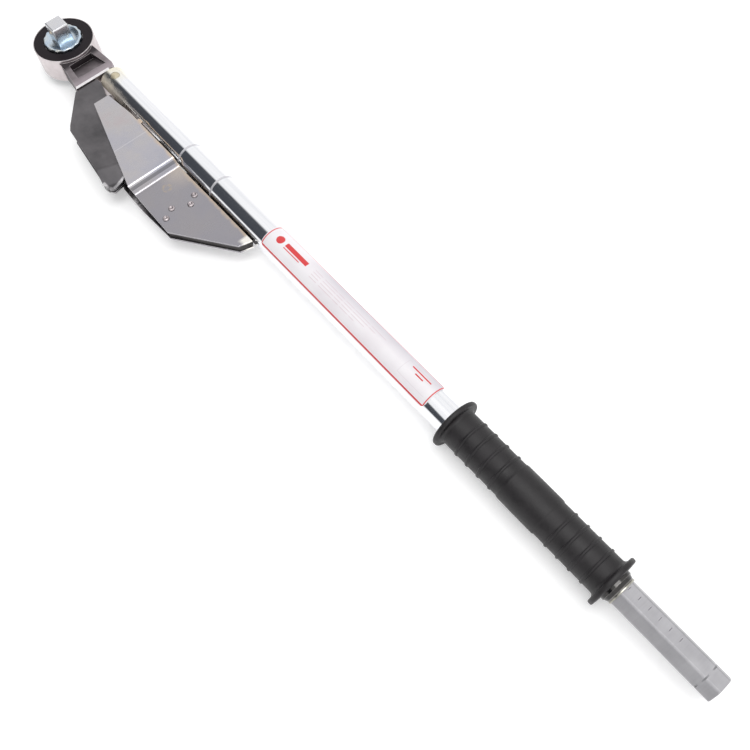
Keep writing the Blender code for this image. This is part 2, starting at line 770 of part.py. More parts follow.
def hexagon_bar():
    """Hexagon with turned corners, in front of it the adjusting screw."""
    corner = HEX_FLATS / sqrt(3)
    bm = bmesh.new()
    bmesh.ops.create_cone(
        bm,
        cap_ends=True,
        segments=6,
        radius1=corner,
        radius2=corner,
        depth=HEX_END_X - HEX_START_X,
        matrix=Matrix.Rotation(pi / 2, 4, "Y") @ Matrix.Rotation(HEX_ROLL, 4, "Z"),
    )
    bar = from_bmesh("adjuster_hexagon", bm, ((HEX_START_X + HEX_END_X) / 2, TUBE_Y, 0))
    corners = turned(
        "corner_turning",
        [
            (0, HEX_END_X + 0.0001),
            (HEX_CORNER_RADIUS - HEX_CHAMFER, HEX_END_X + 0.0001),
            (HEX_CORNER_RADIUS, HEX_END_X - HEX_CHAMFER),
            (HEX_CORNER_RADIUS, HEX_START_X + HEX_CHAMFER),
            (HEX_CORNER_RADIUS - HEX_CHAMFER, HEX_START_X - 0.0001),
            (0, HEX_START_X - 0.0001),
        ],
        steps=72,
        along_x=True,
        location=(0, TUBE_Y, 0),
    )
    combine(bar, corners, "INTERSECT")
    groove = turned(
        "tool_groove",
        [
            (0.0200, HEX_GROOVE_X + 0.0008),
            (0.0200, HEX_GROOVE_X - 0.0008),
            (0.0123, HEX_GROOVE_X - 0.0008),
            (0.0123, HEX_GROOVE_X + 0.0008),
        ],
        closed=True,
        along_x=True,
        location=(0, TUBE_Y, 0),
    )
    combine(bar, groove)
    rod_start = FOLLOWER_FACE_X + FOLLOWER_LENGTH - FOLLOWER_CUP_DEPTH + GAP
    rod_ends = (rod_start, TUBE_Y, 0), (HEX_START_X + 0.01, TUBE_Y, 0)
    combine(bar, cylinder("screw_rod", ROD_RADIUS, *rod_ends, 24), "UNION")
    adopt(bar, ALUMINIUM, adjuster_group)


def adjuster_nut():
    nut = turned(
        "adjuster_nut",
        [
            (TUBE_BORE - GAP, NUT_X + NUT_LENGTH),
            (TUBE_BORE - GAP, NUT_X),
            (ROD_RADIUS + GAP, NUT_X),
            (ROD_RADIUS + GAP, NUT_X + NUT_LENGTH),
        ],
        closed=True,
        along_x=True,
        location=(0, TUBE_Y, 0),
    )
    adopt(nut, PIN_STEEL, tube_group)


def end_ring():
    """Collar on the tube's rear end, tapering to the thin lip that the scale is read at."""
    start, end = END_RING_X
    shoulder = TUBE_END_X + GAP
    ring = turned(
        "end_ring",
        [
            (END_RING_SLEEVE_RADIUS, end),
            (END_RING_SLEEVE_RADIUS, end - 0.0024),
            (END_RING_COLLAR_RADIUS - 0.0008, end - 0.0052),
            (END_RING_COLLAR_RADIUS, end - 0.0060),
            (END_RING_COLLAR_RADIUS, shoulder),
            (END_RING_SLEEVE_RADIUS, shoulder),
            (END_RING_SLEEVE_RADIUS, start),
            (END_RING_BORE, start),
            (END_RING_BORE, end),
        ],
        steps=40,
        closed=True,
        along_x=True,
        location=(0, TUBE_Y, 0),
    )
    adopt(ring, DARK_STEEL, tube_group)


# ---------------------------------------------------------------- grip and label
def grip_profile():
    """Outer side from the rear flange to the front one, then back along the bore."""
    flange_in = FLANGE_RADIUS - 0.0016
    points = [
        (GRIP_RADIUS - 0.0010, GRIP_END_X),
        (flange_in, GRIP_END_X - 0.0006),
        (FLANGE_RADIUS, GRIP_END_X - 0.0022),
        (FLANGE_RADIUS, GRIP_END_X - 0.0042),
        (flange_in, GRIP_END_X - FLANGE_THICKNESS + 0.0004),
        (GRIP_RADIUS + 0.0012, GRIP_END_X - FLANGE_THICKNESS - 0.0012),
        (GRIP_RADIUS, GRIP_END_X - FLANGE_THICKNESS - 0.0022),
    ]
    features = [(x, "rib") for x in GRIP_RIB_X] + [(GRIP_BARREL_X[1], "barrel")]
    for x, kind in sorted(features, reverse=True):
        if kind == "rib":
            points += [
                (GRIP_RADIUS, x + GRIP_RIB_HALF + 0.0004),
                (GRIP_RADIUS + GRIP_RIB_HEIGHT, x + GRIP_RIB_HALF * 0.4),
                (GRIP_RADIUS + GRIP_RIB_HEIGHT, x - GRIP_RIB_HALF * 0.4),
                (GRIP_RADIUS, x - GRIP_RIB_HALF - 0.0004),
            ]
        else:
            front, rear = GRIP_BARREL_X
            middle = (front + rear) / 2
            points += [
                (GRIP_RADIUS, rear + 0.0008),
                (GRIP_BARREL_RADIUS, rear - 0.0012),
                (GRIP_BARREL_RADIUS + 0.0005, middle),
                (GRIP_BARREL_RADIUS, front + 0.0012),
                (GRIP_RADIUS, front - 0.0008),
            ]
    points += [
        (GRIP_RADIUS, GRIP_START_X + FLANGE_THICKNESS + 0.0022),
        (GRIP_RADIUS + 0.0012, GRIP_START_X + FLANGE_THICKNESS + 0.0012),
        (flange_in, GRIP_START_X + FLANGE_THICKNESS - 0.0004),
        (FLANGE_RADIUS, GRIP_START_X + 0.0042),
        (FLANGE_RADIUS, GRIP_START_X + 0.0022),
        (flange_in, GRIP_START_X + 0.0006),
        (GRIP_RADIUS - 0.0010, GRIP_START_X),
        (GRIP_BORE, GRIP_START_X),
        (GRIP_BORE, GRIP_END_X),
    ]
    return points


def rubber_grip():
    grip = turned(
        "rubber_grip",
        grip_profile(),
        steps=36,
        closed=True,
        along_x=True,
        location=(0, TUBE_Y, 0),
    )
    adopt(grip, RUBBER, tube_group)


def label_film():
    """Printed film that wraps the top of the tube."""
    bm = bmesh.new()
    steps = 20
    inner = TUBE_RADIUS + LABEL_GAP
    rows = []
    for k in range(steps + 1):
        angle = pi / 2 + LABEL_HALF_ANGLE * (2 * k / steps - 1)
        y, z = inner * cos(angle), inner * sin(angle)
        rows.append([bm.verts.new((x, y, z)) for x in (LABEL_START_X, LABEL_END_X)])
    for first, second in zip(rows, rows[1:]):
        bm.faces.new((first[0], first[1], second[1], second[0]))
    film = from_bmesh("label_film", bm, (0, TUBE_Y, 0))
    outward = film.data.polygons[steps // 2].normal.z > 0
    solidify = film.modifiers.new("Solidify", "SOLIDIFY")
    solidify.thickness = LABEL_THICKNESS
    solidify.offset = 1 if outward else -1
    adopt(film, FILM, tube_group)


# ---------------------------------------------------------------- guards
def guard_outline(free_edge, tab=()):
    """Plan of a guard: front corner, free edge, rear corner, then along the tube."""
    return [
        (0.1102, -0.0273),
        *free_edge,
        (0.2960, -0.0615),
        (0.3580, -0.0188),
        (0.3620, GUARD_EDGE_Y),
        *tab,
        (0.1500, GUARD_EDGE_Y),
        (0.1102, -0.0088),
    ]


def guard_upper():
    """The upper guard steps down to its rear zone. A small tab bridges to the tube."""
    fall = (GUARD_TOP_Z - GUARD_REAR_Z) / GUARD_STEP_RUN
    creases = [
        ((GUARD_CREASE_X, 0), (-1, 0), -GUARD_CREASE_SLOPE),
        ((GUARD_STEP_X, 0), (1, 0), fall),
        ((GUARD_STEP_X + GUARD_STEP_RUN, 0), (1, 0), -fall),
    ]
    reach = GUARD_EDGE_Y + 0.0030
    tab = [(0.1665, GUARD_EDGE_Y), (0.1655, reach), (0.1605, reach), (0.1595, GUARD_EDGE_Y)]
    outline = guard_outline([(0.2275, -0.0612), (0.2345, -0.0600)], tab)
    sheet = bent_sheet("guard_upper", outline, creases, GUARD_TOP_Z, GUARD_THICKNESS, 1)
    for x, y in UPPER_RIVETS:
        combine(sheet, cylinder("rivet_hole", RIVET_RADIUS + GAP, (x, y, 0), (x, y, 0.02), 16))
    adopt(sheet, ZINC, tube_group)


def guard_lower():
    """The lower guard rises to the rear zone along one long slope."""
    slope = (GUARD_TOP_Z - GUARD_REAR_Z) / GUARD_RAMP_RUN
    creases = [
        ((GUARD_RAMP_X, 0), (1, 0), slope),
        ((GUARD_RAMP_X + GUARD_RAMP_RUN, 0), (1, 0), -slope),
    ]
    outline = guard_outline([(0.2040, -0.0605), (0.2450, -0.0620)])
    sheet = bent_sheet("guard_lower", outline, creases, GUARD_TOP_Z, GUARD_THICKNESS, -1)
    for x, y in LOWER_RIVETS:
        combine(sheet, cylinder("rivet_hole", RIVET_RADIUS + GAP, (x, y, 0), (x, y, -0.02), 16))
    adopt(sheet, ZINC, tube_group)


def guard_bracket():
    """Flat plate welded along the tube, which both guards are riveted to."""
    edge = TUBE_Y - TUBE_RADIUS - GAP
    outline = [
        (0.2580, edge),
        (0.2580, -0.0570),
        (0.2950, -0.0600),
        (0.3570, -0.0178),
        (0.3600, -0.0100),
        (0.3600, edge),
    ]
    holes = [circle(spot, RIVET_RADIUS + GAP, 16) for spot in UPPER_RIVETS + LOWER_RIVETS]
    bracket = prism("guard_bracket", outline, -BRACKET_HALF, BRACKET_HALF, holes)
    adopt(bracket, ZINC, tube_group)


def rivet(name, spot, low_seat, high_seat):
    """Rivet with a low domed head at each seat that is given, and a flush end elsewhere."""
    low, high = low_seat[0], high_seat[0]
    top = [(0, high)]
    if high_seat[1]:
        top = [
            (0, high + RIVET_HEAD_HEIGHT),
            (RIVET_HEAD_RADIUS * 0.6, high + RIVET_HEAD_HEIGHT * 0.85),
            (RIVET_HEAD_RADIUS, high + RIVET_HEAD_HEIGHT * 0.3),
            (RIVET_HEAD_RADIUS, high),
        ]
    bottom = [(0, low)]
    if low_seat[1]:
        bottom = [
            (RIVET_HEAD_RADIUS, low),
            (RIVET_HEAD_RADIUS, low - RIVET_HEAD_HEIGHT * 0.3),
            (RIVET_HEAD_RADIUS * 0.6, low - RIVET_HEAD_HEIGHT * 0.85),
            (0, low - RIVET_HEAD_HEIGHT),
        ]
    profile = [*top, (RIVET_RADIUS, high), (RIVET_RADIUS, low), *bottom]
    piece = turned(name, profile, steps=16, location=(*spot, 0))
    adopt(piece, ZINC, tube_group)


def rivets():
    for count, spot in enumerate(UPPER_RIVETS, 1):
        rivet(f"guard_rivet_{count}", spot, (-BRACKET_HALF, False), (GUARD_REAR_Z + GAP, True))
    for count, spot in enumerate(LOWER_RIVETS, 1):
        name = f"lower_guard_rivet_{count}"
        rivet(name, spot, (-GUARD_REAR_Z - GAP, True), (BRACKET_HALF, False))


# ---------------------------------------------------------------- the whole wrench
ratchet_head()
cover_ring("cover_ring_front", 1)
cover_ring("cover_ring_back", -1)
ratchet_gear()
square_drive()
drive_fasteners()
detent()
pawl()
lever_plate("lever_plate_upper", 1)
lever_plate("lever_plate_lower", -1)
link_pin()
toggle_link()
plunger()
main_tube()
fulcrum_pin()
main_spring()
spring_follower()
hexagon_bar()
adjuster_nut()
end_ring()
rubber_grip()
label_film()
guard_upper()
guard_lower()
guard_bracket()
rivets()
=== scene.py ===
"""Looks of the torque wrench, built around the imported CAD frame.

Pieces are modelled in plan coordinates: x and y as in the frame, z = 0 at the
flat middle plane of the wrench. Every piece is placed at MIDPLANE, so a
material's object coordinates are plan coordinates too.
"""

import json
from math import atan2, cos, hypot, pi, radians, sin, sqrt, tau

import bmesh
import bpy
from mathutils import Matrix, Vector

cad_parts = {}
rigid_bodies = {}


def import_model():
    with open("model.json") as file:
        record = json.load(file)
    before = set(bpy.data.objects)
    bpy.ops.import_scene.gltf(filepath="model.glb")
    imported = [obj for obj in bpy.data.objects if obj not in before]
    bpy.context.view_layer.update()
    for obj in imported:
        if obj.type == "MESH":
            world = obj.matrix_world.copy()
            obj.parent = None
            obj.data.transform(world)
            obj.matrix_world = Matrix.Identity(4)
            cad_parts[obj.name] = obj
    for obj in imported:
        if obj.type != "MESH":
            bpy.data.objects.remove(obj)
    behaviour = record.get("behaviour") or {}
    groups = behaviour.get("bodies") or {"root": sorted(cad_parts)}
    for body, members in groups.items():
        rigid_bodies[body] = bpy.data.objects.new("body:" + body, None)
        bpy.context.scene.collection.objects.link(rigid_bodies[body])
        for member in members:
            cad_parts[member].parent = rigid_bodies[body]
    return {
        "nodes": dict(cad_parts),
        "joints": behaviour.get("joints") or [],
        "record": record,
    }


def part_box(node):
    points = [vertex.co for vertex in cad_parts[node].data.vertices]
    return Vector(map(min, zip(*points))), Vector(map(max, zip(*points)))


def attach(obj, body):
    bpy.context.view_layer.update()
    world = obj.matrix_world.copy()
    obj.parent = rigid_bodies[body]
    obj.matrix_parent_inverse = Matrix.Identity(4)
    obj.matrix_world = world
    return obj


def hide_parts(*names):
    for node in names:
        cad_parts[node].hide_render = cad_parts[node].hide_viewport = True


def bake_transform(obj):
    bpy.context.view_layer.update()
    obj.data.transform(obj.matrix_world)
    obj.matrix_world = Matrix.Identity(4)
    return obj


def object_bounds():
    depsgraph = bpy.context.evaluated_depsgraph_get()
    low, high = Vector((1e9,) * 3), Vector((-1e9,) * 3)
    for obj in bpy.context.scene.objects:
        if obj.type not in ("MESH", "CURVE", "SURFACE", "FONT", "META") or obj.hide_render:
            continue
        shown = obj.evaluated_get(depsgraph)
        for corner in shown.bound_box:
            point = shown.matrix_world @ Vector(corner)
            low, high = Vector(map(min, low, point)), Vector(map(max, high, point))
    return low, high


for leftover in list(bpy.data.objects):
    bpy.data.objects.remove(leftover, do_unlink=True)

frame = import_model()
cad_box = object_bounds()

# ---------------- places taken from the frame
mounts = {mount["name"]: mount for mount in frame["record"]["mounts"]}
joints = {joint["name"]: joint for joint in frame["joints"]}
MIDPLANE_Z = mounts["adjuster_end"]["pos_m"][2]
MIDPLANE = Vector((0, 0, MIDPLANE_Z))


def span(node, axis):
    """The lowest and highest plan coordinate of a CAD node along an axis (0, 1 or 2)."""
    low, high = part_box(node)
    return (low - MIDPLANE)[axis], (high - MIDPLANE)[axis]


def middle(node):
    return [sum(span(node, axis)) / 2 for axis in range(3)]


FULCRUM = joints["break_hinge"]["pos_m"][:2]
LINK_PIN = joints["link_turn"]["pos_m"][:2]
TUBE_Y = middle("main_tube")[1]
TUBE_RADIUS = (span("main_tube", 1)[1] - span("main_tube", 1)[0]) / 2
TUBE_X = span("main_tube", 0)
COVER_RADIUS = span("cover_ring_front", 0)[1]
HEAD_HALF = span("cover_ring_front", 2)[1]
COVER_THICKNESS = HEAD_HALF - span("cover_ring_front", 2)[0]
HEAD_RADIUS = -span("ratchet_head", 0)[0]
DISC_RADIUS = span("drive_washer", 0)[1]
SQUARE_TIP_Z = span("square_drive", 2)[1]
GRIP_X = span("rubber_grip", 0)
FLANGE_RADIUS = (span("rubber_grip", 2)[1] - span("rubber_grip", 2)[0]) / 2
LABEL_X = span("label_film", 0)
HEX_END_X = span("adjuster_hexagon", 0)[1]
PLATE_TOP_Z = span("lever_plate_upper", 2)[1]
GUARD_TOP_Z = -span("guard_lower", 2)[0]
BRACKET_HALF = span("guard_bracket", 2)[1]


def unit(x, y):
    size = hypot(x, y)
    return x / size, y / size


SQUARE = 0.01905
TUBE_CRIMPS_X = (0.2860, 0.2290)
GAP = 0.0003
DETENT_Z, DETENT_RADIUS = 0.0295, 0.0023

LEVER_TIP = [(0.1990, -0.0773), (0.2055, -0.0764), (0.2116, -0.0724), (0.2088, -0.0594)]
LEVER_FOLD = (0.1828, -0.0733)
LEVER_FALL = unit(19.0, -7.4)
GUARD_CREASE_X = 0.1795
GUARD_STEP_X, GUARD_STEP_RUN = 0.2280, 0.0065
GUARD_REAR_Z = 0.0060
GUARD_THICKNESS = 0.0020
GUARD_EDGE_Y = TUBE_Y - TUBE_RADIUS - 0.0012
WELD_STAIN = (0.2497, -0.0305)
RIVET_HOLE = 0.0023
PIN_BORE = 0.0053


# ---------------- shader helpers
def plug(value, socket):
    """Links a socket to an input, or sets the input to a value."""
    if isinstance(value, bpy.types.NodeSocket):
        socket.id_data.links.new(value, socket)
    elif socket.type == "RGBA":
        socket.default_value = (*value, 1)
    else:
        socket.default_value = value


def add(tree, kind, links=None, **settings):
    """A node with its settings, and its inputs linked to sockets or set to values."""
    node = tree.nodes.new(kind)
    for key, value in settings.items():
        setattr(node, key, value)
    for key, value in (links or {}).items():
        plug(value, node.inputs[key])
    return node


def noise(tree, scale, stretch=(1, 1, 1), detail=3.0, roughness=0.5):
    """Noise in plan coordinates, in cycles per metre, stretched along the axes."""
    place = add(tree, "ShaderNodeTexCoord").outputs["Object"]
    moved = add(tree, "ShaderNodeMapping", {"Vector": place, "Scale": stretch}).outputs["Vector"]
    values = {"Vector": moved, "Scale": scale, "Detail": detail, "Roughness": roughness}
    return add(tree, "ShaderNodeTexNoise", values).outputs["Fac"]


def split_place(tree):
    """Sockets of the plan coordinates X, Y and Z."""
    place = add(tree, "ShaderNodeTexCoord").outputs["Object"]
    split = add(tree, "ShaderNodeSeparateXYZ", {"Vector": place})
    return split.outputs["X"], split.outputs["Y"], split.outputs["Z"]


def ramp(factor, colours, places=(0.3, 0.7)):
    """Runs through the colours at these places of the factor, or at even steps between the two."""
    node = add(factor.id_data, "ShaderNodeValToRGB", {"Fac": factor})
    elements = node.color_ramp.elements
    if len(places) < len(colours):
        step = (places[1] - places[0]) / (len(colours) - 1)
        places = [places[0] + step * k for k in range(len(colours))]
    while len(elements) < len(colours):
        elements.new(0.5)
    for element, place, colour in zip(elements, places, colours):
        element.position = place
        element.color = (*colour, 1)
    return node.outputs["Color"]


def remap(value, low, high, to_low=0.0, to_high=1.0):
    limits = {"Value": value, "From Min": low, "From Max": high, "To Min": to_low, "To Max": to_high}
    return add(value.id_data, "ShaderNodeMapRange", limits).outputs["Result"]


def math(operation, first, *others):
    links = dict(enumerate((first, *others)))
    return add(first.id_data, "ShaderNodeMath", links, operation=operation).outputs["Value"]


def times(first, second):
    return math("MULTIPLY", first, second)


def plus(factor, scale, value):
    """value + factor x scale."""
    return math("MULTIPLY_ADD", factor, scale, value)


def squared_distance(along, across, centre):
    steps = [math("SUBTRACT", socket, place) for socket, place in zip((along, across), centre)]
    return math("ADD", *[math("POWER", step, 2.0) for step in steps])


def slab(tree, direction, edge, low, high, share=1.0):
    """Grows from 0 to the share as a place passes the line at the edge, in plan."""
    place = add(tree, "ShaderNodeTexCoord").outputs["Object"]
    links = {0: place, 1: (*direction, 0)}
    reach = add(tree, "ShaderNodeVectorMath", links, operation="DOT_PRODUCT").outputs["Value"]
    along = edge[0] * direction[0] + edge[1] * direction[1]
    return remap(reach, along + low, along + high, 0.0, share)


def mix(factor, first, second):
    links = {0: factor, 6: first, 7: second}
    return add(factor.id_data, "ShaderNodeMix", links, data_type="RGBA").outputs[2]


def layered(base, *layers):
    """The base with colours laid over it in turn, each given as (share, colour)."""
    for share, colour in layers:
        base = mix(share, base, colour)
    return base


def bump(height, distance):
    values = {"Height": height, "Distance": distance, "Strength": 1.0}
    return add(height.id_data, "ShaderNodeBump", values).outputs["Normal"]


def edge_wear(tree, radius):
    """1 on edges sharper than the radius, 0 on flat ground."""
    rounded = add(tree, "ShaderNodeBevel", {"Radius": radius}, samples=4).outputs["Normal"]
    flat = add(tree, "ShaderNodeNewGeometry").outputs["Normal"]
    both = add(tree, "ShaderNodeVectorMath", {0: rounded, 1: flat}, operation="DOT_PRODUCT")
    return remap(both.outputs["Value"], 0.995, 0.90)


def new_material(name):
    made = bpy.data.materials.new(name)
    made.use_nodes = True
    return made, made.node_tree


def finished(made, colour, fine, roughness, depth=0, metallic=1.0, **others):
    """Connects what the look is made of.

    The fine noise gives the surface its depth and, where the roughness is a range, moves it.
    """
    if isinstance(roughness, tuple):
        roughness = remap(fine, 0.3, 0.7, *roughness)
    values = {"Base Color": colour, "Roughness": roughness, "Metallic": metallic, **others}
    if depth:
        values["Normal"] = bump(fine, depth)
    for name, value in values.items():
        plug(value, made.node_tree.nodes["Principled BSDF"].inputs[name])
    return made


def metal(
    name, colours, roughness=(0.2, 0.35), blotch=40, grain=900, stretch=(1, 1, 1), wear=None,
    metallic=1.0, tint=None, places=(0.3, 0.7),
):
    """Bare or plated metal: blotches of colour, directional grain, and lighter worn edges.

    tint is (colour, height from, height to): the colour it turns to with height.
    """
    made, tree = new_material(name)
    colour = ramp(noise(tree, blotch, detail=4, roughness=0.6), colours, places)
    if tint:
        height = split_place(tree)[2]
        colour = mix(remap(height, tint[1], tint[2], 0.0, 0.8), colour, tint[0])
    if wear:
        colour = mix(edge_wear(tree, 0.0006), colour, wear)
    return finished(made, colour, noise(tree, grain, stretch, detail=2), roughness, 0.00002, metallic)


# ---------------- materials
bright_zinc = metal(
    "bright_zinc", [(0.44, 0.54, 0.66), (0.52, 0.60, 0.68), (0.62, 0.63, 0.60)], (0.20, 0.34),
    blotch=120, grain=1500, wear=(0.86, 0.86, 0.80), tint=((0.66, 0.64, 0.65), 0.022, 0.034),
)
forged_steel = metal(
    "forged_steel", [(0.50, 0.455, 0.455), (0.68, 0.625, 0.635)], (0.28, 0.42),
    blotch=60, grain=1400, wear=(0.86, 0.84, 0.84), places=(0.25, 0.75),
)
# painted highlight: near-white metal for the end rib's top and bottom faces, for the light they catch
rib_highlight_steel = metal("rib_highlight_steel", [(0.80, 0.77, 0.78), (0.92, 0.90, 0.91)], (0.26, 0.38), blotch=150)
# painted shade: near black stands for the shade in the gap between the two guards
bracket_shade = metal("bracket_shade", [(0.045, 0.042, 0.042), (0.085, 0.080, 0.078)], (0.4, 0.55))
oiled_steel = metal("oiled_steel", [(0.22, 0.21, 0.20), (0.36, 0.35, 0.34)], (0.22, 0.38), blotch=80)
plain_steel = metal(
    "plain_steel", [(0.50, 0.48, 0.46), (0.66, 0.64, 0.62)], (0.25, 0.38),
    blotch=60, stretch=(1, 1, 0.1),
)
black_oxide = metal(
    "black_oxide", [(0.05, 0.05, 0.05), (0.10, 0.10, 0.10)], (0.30, 0.45), wear=(0.30, 0.29, 0.28)
)
# painted reflection: glossy near black stands for the collar's reflection of the black grip flange
collar_dark_reflection = metal(
    "collar_dark_reflection", [(0.030, 0.030, 0.032), (0.075, 0.072, 0.070)], (0.12, 0.20),
    wear=(0.22, 0.21, 0.20),
)
rivet_zinc = metal(
    "rivet_zinc", [(0.30, 0.26, 0.27), (0.60, 0.55, 0.56)], (0.34, 0.50),
    blotch=420, places=(0.35, 0.65),
)
lip_zinc = metal("lip_zinc", [(0.30, 0.29, 0.25), (0.46, 0.45, 0.40)], (0.25, 0.40), blotch=120)
pin_bronze = metal("pin_bronze", [(0.52, 0.45, 0.32), (0.74, 0.68, 0.52)], (0.25, 0.40), blotch=150)
brass = metal("brass", [(0.60, 0.44, 0.20), (0.76, 0.58, 0.30)], (0.22, 0.36))
# painted shade: dark colour for the faces of the hexagon's groove
groove_shade = metal("groove_shade", [(0.20, 0.20, 0.21), (0.28, 0.28, 0.29)], (0.5, 0.6), metallic=0.3)
mark_ink = metal("mark_ink", [(0.19, 0.18, 0.20), (0.26, 0.25, 0.27)], (0.7, 0.8), metallic=0.0)


def neck_casting():
    """Rough dark casting, with painted shade on its sideways-facing faces and a painted shadow next to the
    ring, and lighter towards the end rib.
    """
    made, tree = new_material("cast_dark")
    cloud = noise(tree, 90, detail=4, roughness=0.6)
    along, _, _ = split_place(tree)
    facing = add(tree, "ShaderNodeNewGeometry").outputs["Normal"]
    facing = add(tree, "ShaderNodeSeparateXYZ", {"Vector": facing}).outputs["Z"]
    # painted shade: faces that look sideways are darkened
    steep = remap(math("ABSOLUTE", facing), 0.8, 0.3, 0.0, 0.65)
    # painted shadow where the neck meets the ring
    ring_gap_shade = remap(along, 0.0425, 0.0365, 0.0, 0.85)
    # lighter towards the end rib
    lighter_to_rib = remap(along, 0.0560, 0.0660, 0.0, 0.75)
    base = layered(
        ramp(cloud, [(0.19, 0.165, 0.175), (0.33, 0.295, 0.305)], (0.25, 0.75)),
        (steep, (0.06, 0.05, 0.055)),
        (ring_gap_shade, (0.03, 0.027, 0.03)),
        (lighter_to_rib, (0.44, 0.38, 0.41)),
        (edge_wear(tree, 0.0006), (0.60, 0.56, 0.57)),
    )
    return finished(made, base, noise(tree, 1600, detail=2), (0.42, 0.60), 0.00006)


def lever_sheet():
    """Dark rolled sheet, with painted shade past its fold and a painted highlight round its folded tip."""
    made, tree = new_material("lever_steel")
    cloud = noise(tree, 25, detail=5, roughness=0.6)
    # painted highlight: a light band round the tip, where the folded end catches the light
    tip_highlight = None
    for first, second in zip(LEVER_TIP, LEVER_TIP[1:]):
        outward = unit(second[1] - first[1], first[0] - second[0])
        near = slab(tree, outward, first, -0.0036, -0.0022)
        tip_highlight = near if tip_highlight is None else math("MAXIMUM", tip_highlight, near)
    along, _, _ = split_place(tree)
    at_tip = math("GREATER_THAN", along, LEVER_TIP[0][0] - 0.001)
    patchy = remap(noise(tree, 260, detail=3), 0.36, 0.54, 0.25, 0.9)
    base = layered(
        ramp(cloud, [(0.078, 0.075, 0.079), (0.180, 0.170, 0.177)], (0.28, 0.72)),
        (edge_wear(tree, 0.0006), (0.26, 0.25, 0.25)),
        # painted shade on the sheet past its fold
        (slab(tree, LEVER_FALL, LEVER_FOLD, -0.002, 0.002, 0.55), (0.055, 0.053, 0.056)),
        (times(times(tip_highlight, at_tip), patchy), (0.42, 0.41, 0.42)),
    )
    return finished(made, base, noise(tree, 700, (0.15, 1, 1), detail=2), (0.32, 0.42), 0.00001)


def chrome():
    """Bright chrome, drawn along its length, with stains at the head end, and a painted highlight along each
    crimp.
    """
    made, tree = new_material("chrome_tube")
    start = TUBE_X[0]
    streaks = noise(tree, 400, (0.02, 1, 1), detail=3)
    along, across, _ = split_place(tree)
    ragged = plus(noise(tree, 60), 0.03, along)
    low_side = plus(noise(tree, 140, detail=3), 0.006, across)
    creamy = remap(ragged, start + 0.045, start + 0.014, 0.0, 0.75)
    reach = remap(ragged, start + 0.066, start + 0.026, 0.0, 0.9)
    stain = times(remap(low_side, TUBE_Y - 0.0040, TUBE_Y - 0.0085), reach)
    reach = remap(ragged, start + 0.16, start + 0.05, 0.0, 0.7)
    haze = times(remap(low_side, TUBE_Y - 0.0010, TUBE_Y - 0.0080), reach)
    mottled = noise(tree, 240, detail=3)
    base = layered(
        ramp(streaks, [(0.80, 0.81, 0.84), (0.90, 0.90, 0.92)]),
        (creamy, (0.86, 0.80, 0.62)),
        (stain, ramp(mottled, [(0.30, 0.29, 0.25), (0.64, 0.59, 0.45)], (0.38, 0.62))),
        (haze, (0.60, 0.53, 0.45)),
    )
    gloss = remap(streaks, 0.3, 0.7, 0.07, 0.15)
    for layer, share in ((stain, 0.30), (creamy, 0.24), (haze, 0.16)):
        gloss = plus(layer, share, gloss)
    dull = stain
    # painted highlight: a light grey, less metallic line on each crimp, for the light its groove catches
    # across the dark band
    for crimp_x in TUBE_CRIMPS_X:
        line = remap(math("ABSOLUTE", math("SUBTRACT", along, crimp_x)), 0.0007, 0.0017, 0.8, 0.0)
        base = mix(line, base, (0.47, 0.46, 0.49))
        gloss = plus(line, 0.35, gloss)
        dull = math("MAXIMUM", dull, line)
    return finished(made, base, streaks, gloss, 0.00001, remap(dull, 0.0, 1.0, 1.0, 0.25))


def guard_sheet():
    """Zinc plate with a cool cast: darker behind the step, a painted highlight along the front crease,
    painted shade on the step's sloping face, gold-tinted along the tube, creamy by the step, a painted
    highlight on the rear corner, and stained round a weld."""
    made, tree = new_material("guard_zinc")
    cloud = noise(tree, 22, detail=4, roughness=0.6)
    cool = [(0.41, 0.41, 0.465), (0.455, 0.445, 0.485), (0.485, 0.465, 0.475), (0.49, 0.44, 0.45)]
    along, across, _ = split_place(tree)
    ragged = plus(noise(tree, 90, detail=3), 0.008, across)
    crease, step, edge, wide = GUARD_CREASE_X, GUARD_STEP_X, GUARD_EDGE_Y, 0.0008
    behind = remap(along, step + 0.001, step + 0.008, 0.0, 0.70)
    # painted highlight: a light line along the front crease
    crease_highlight = times(remap(along, crease - wide, crease, 0.0, 0.5), remap(along, crease, crease + wide, 1.0, 0.0))
    # painted shade on the step's sloping face
    step_face_shade = times(math("COMPARE", along, step + 0.0027, 0.0011), 0.6)
    gold = times(remap(ragged, edge, edge + 0.0050, 0.0, 0.85), remap(along, 0.140, 0.165))
    by_step = times(remap(along, step + 0.036, step + 0.012), math("GREATER_THAN", along, step + 0.007))
    cream = times(remap(ragged, edge - 0.026, edge - 0.004, 0.0, 0.75), by_step)
    # painted highlight on the rear corner
    corner = times(remap(along, 0.3520, 0.3550), remap(ragged, edge - 0.0085, edge - 0.0035))
    reach = math("SQRT", squared_distance(along, across, WELD_STAIN))
    blotchy = remap(noise(tree, 300, detail=3), 0.35, 0.6, 0.0, 0.45)
    base = layered(
        ramp(cloud, cool, (0.28, 0.44, 0.58, 0.70)),
        (behind, (0.262, 0.250, 0.272)),
        (crease_highlight, (0.70, 0.68, 0.70)),
        (step_face_shade, (0.10, 0.10, 0.11)),
        (gold, (0.66, 0.50, 0.34)),
        (cream, (0.52, 0.46, 0.41)),
        (corner, (0.88, 0.85, 0.80)),
        (times(math("COMPARE", reach, 0.0042, 0.0014), blotchy), (0.50, 0.40, 0.27)),
        (edge_wear(tree, 0.0004), (0.80, 0.78, 0.76)),
    )
    fine = noise(tree, 500, (1, 0.12, 1), detail=2)
    return finished(made, base, fine, (0.23, 0.28), 0.0000015)


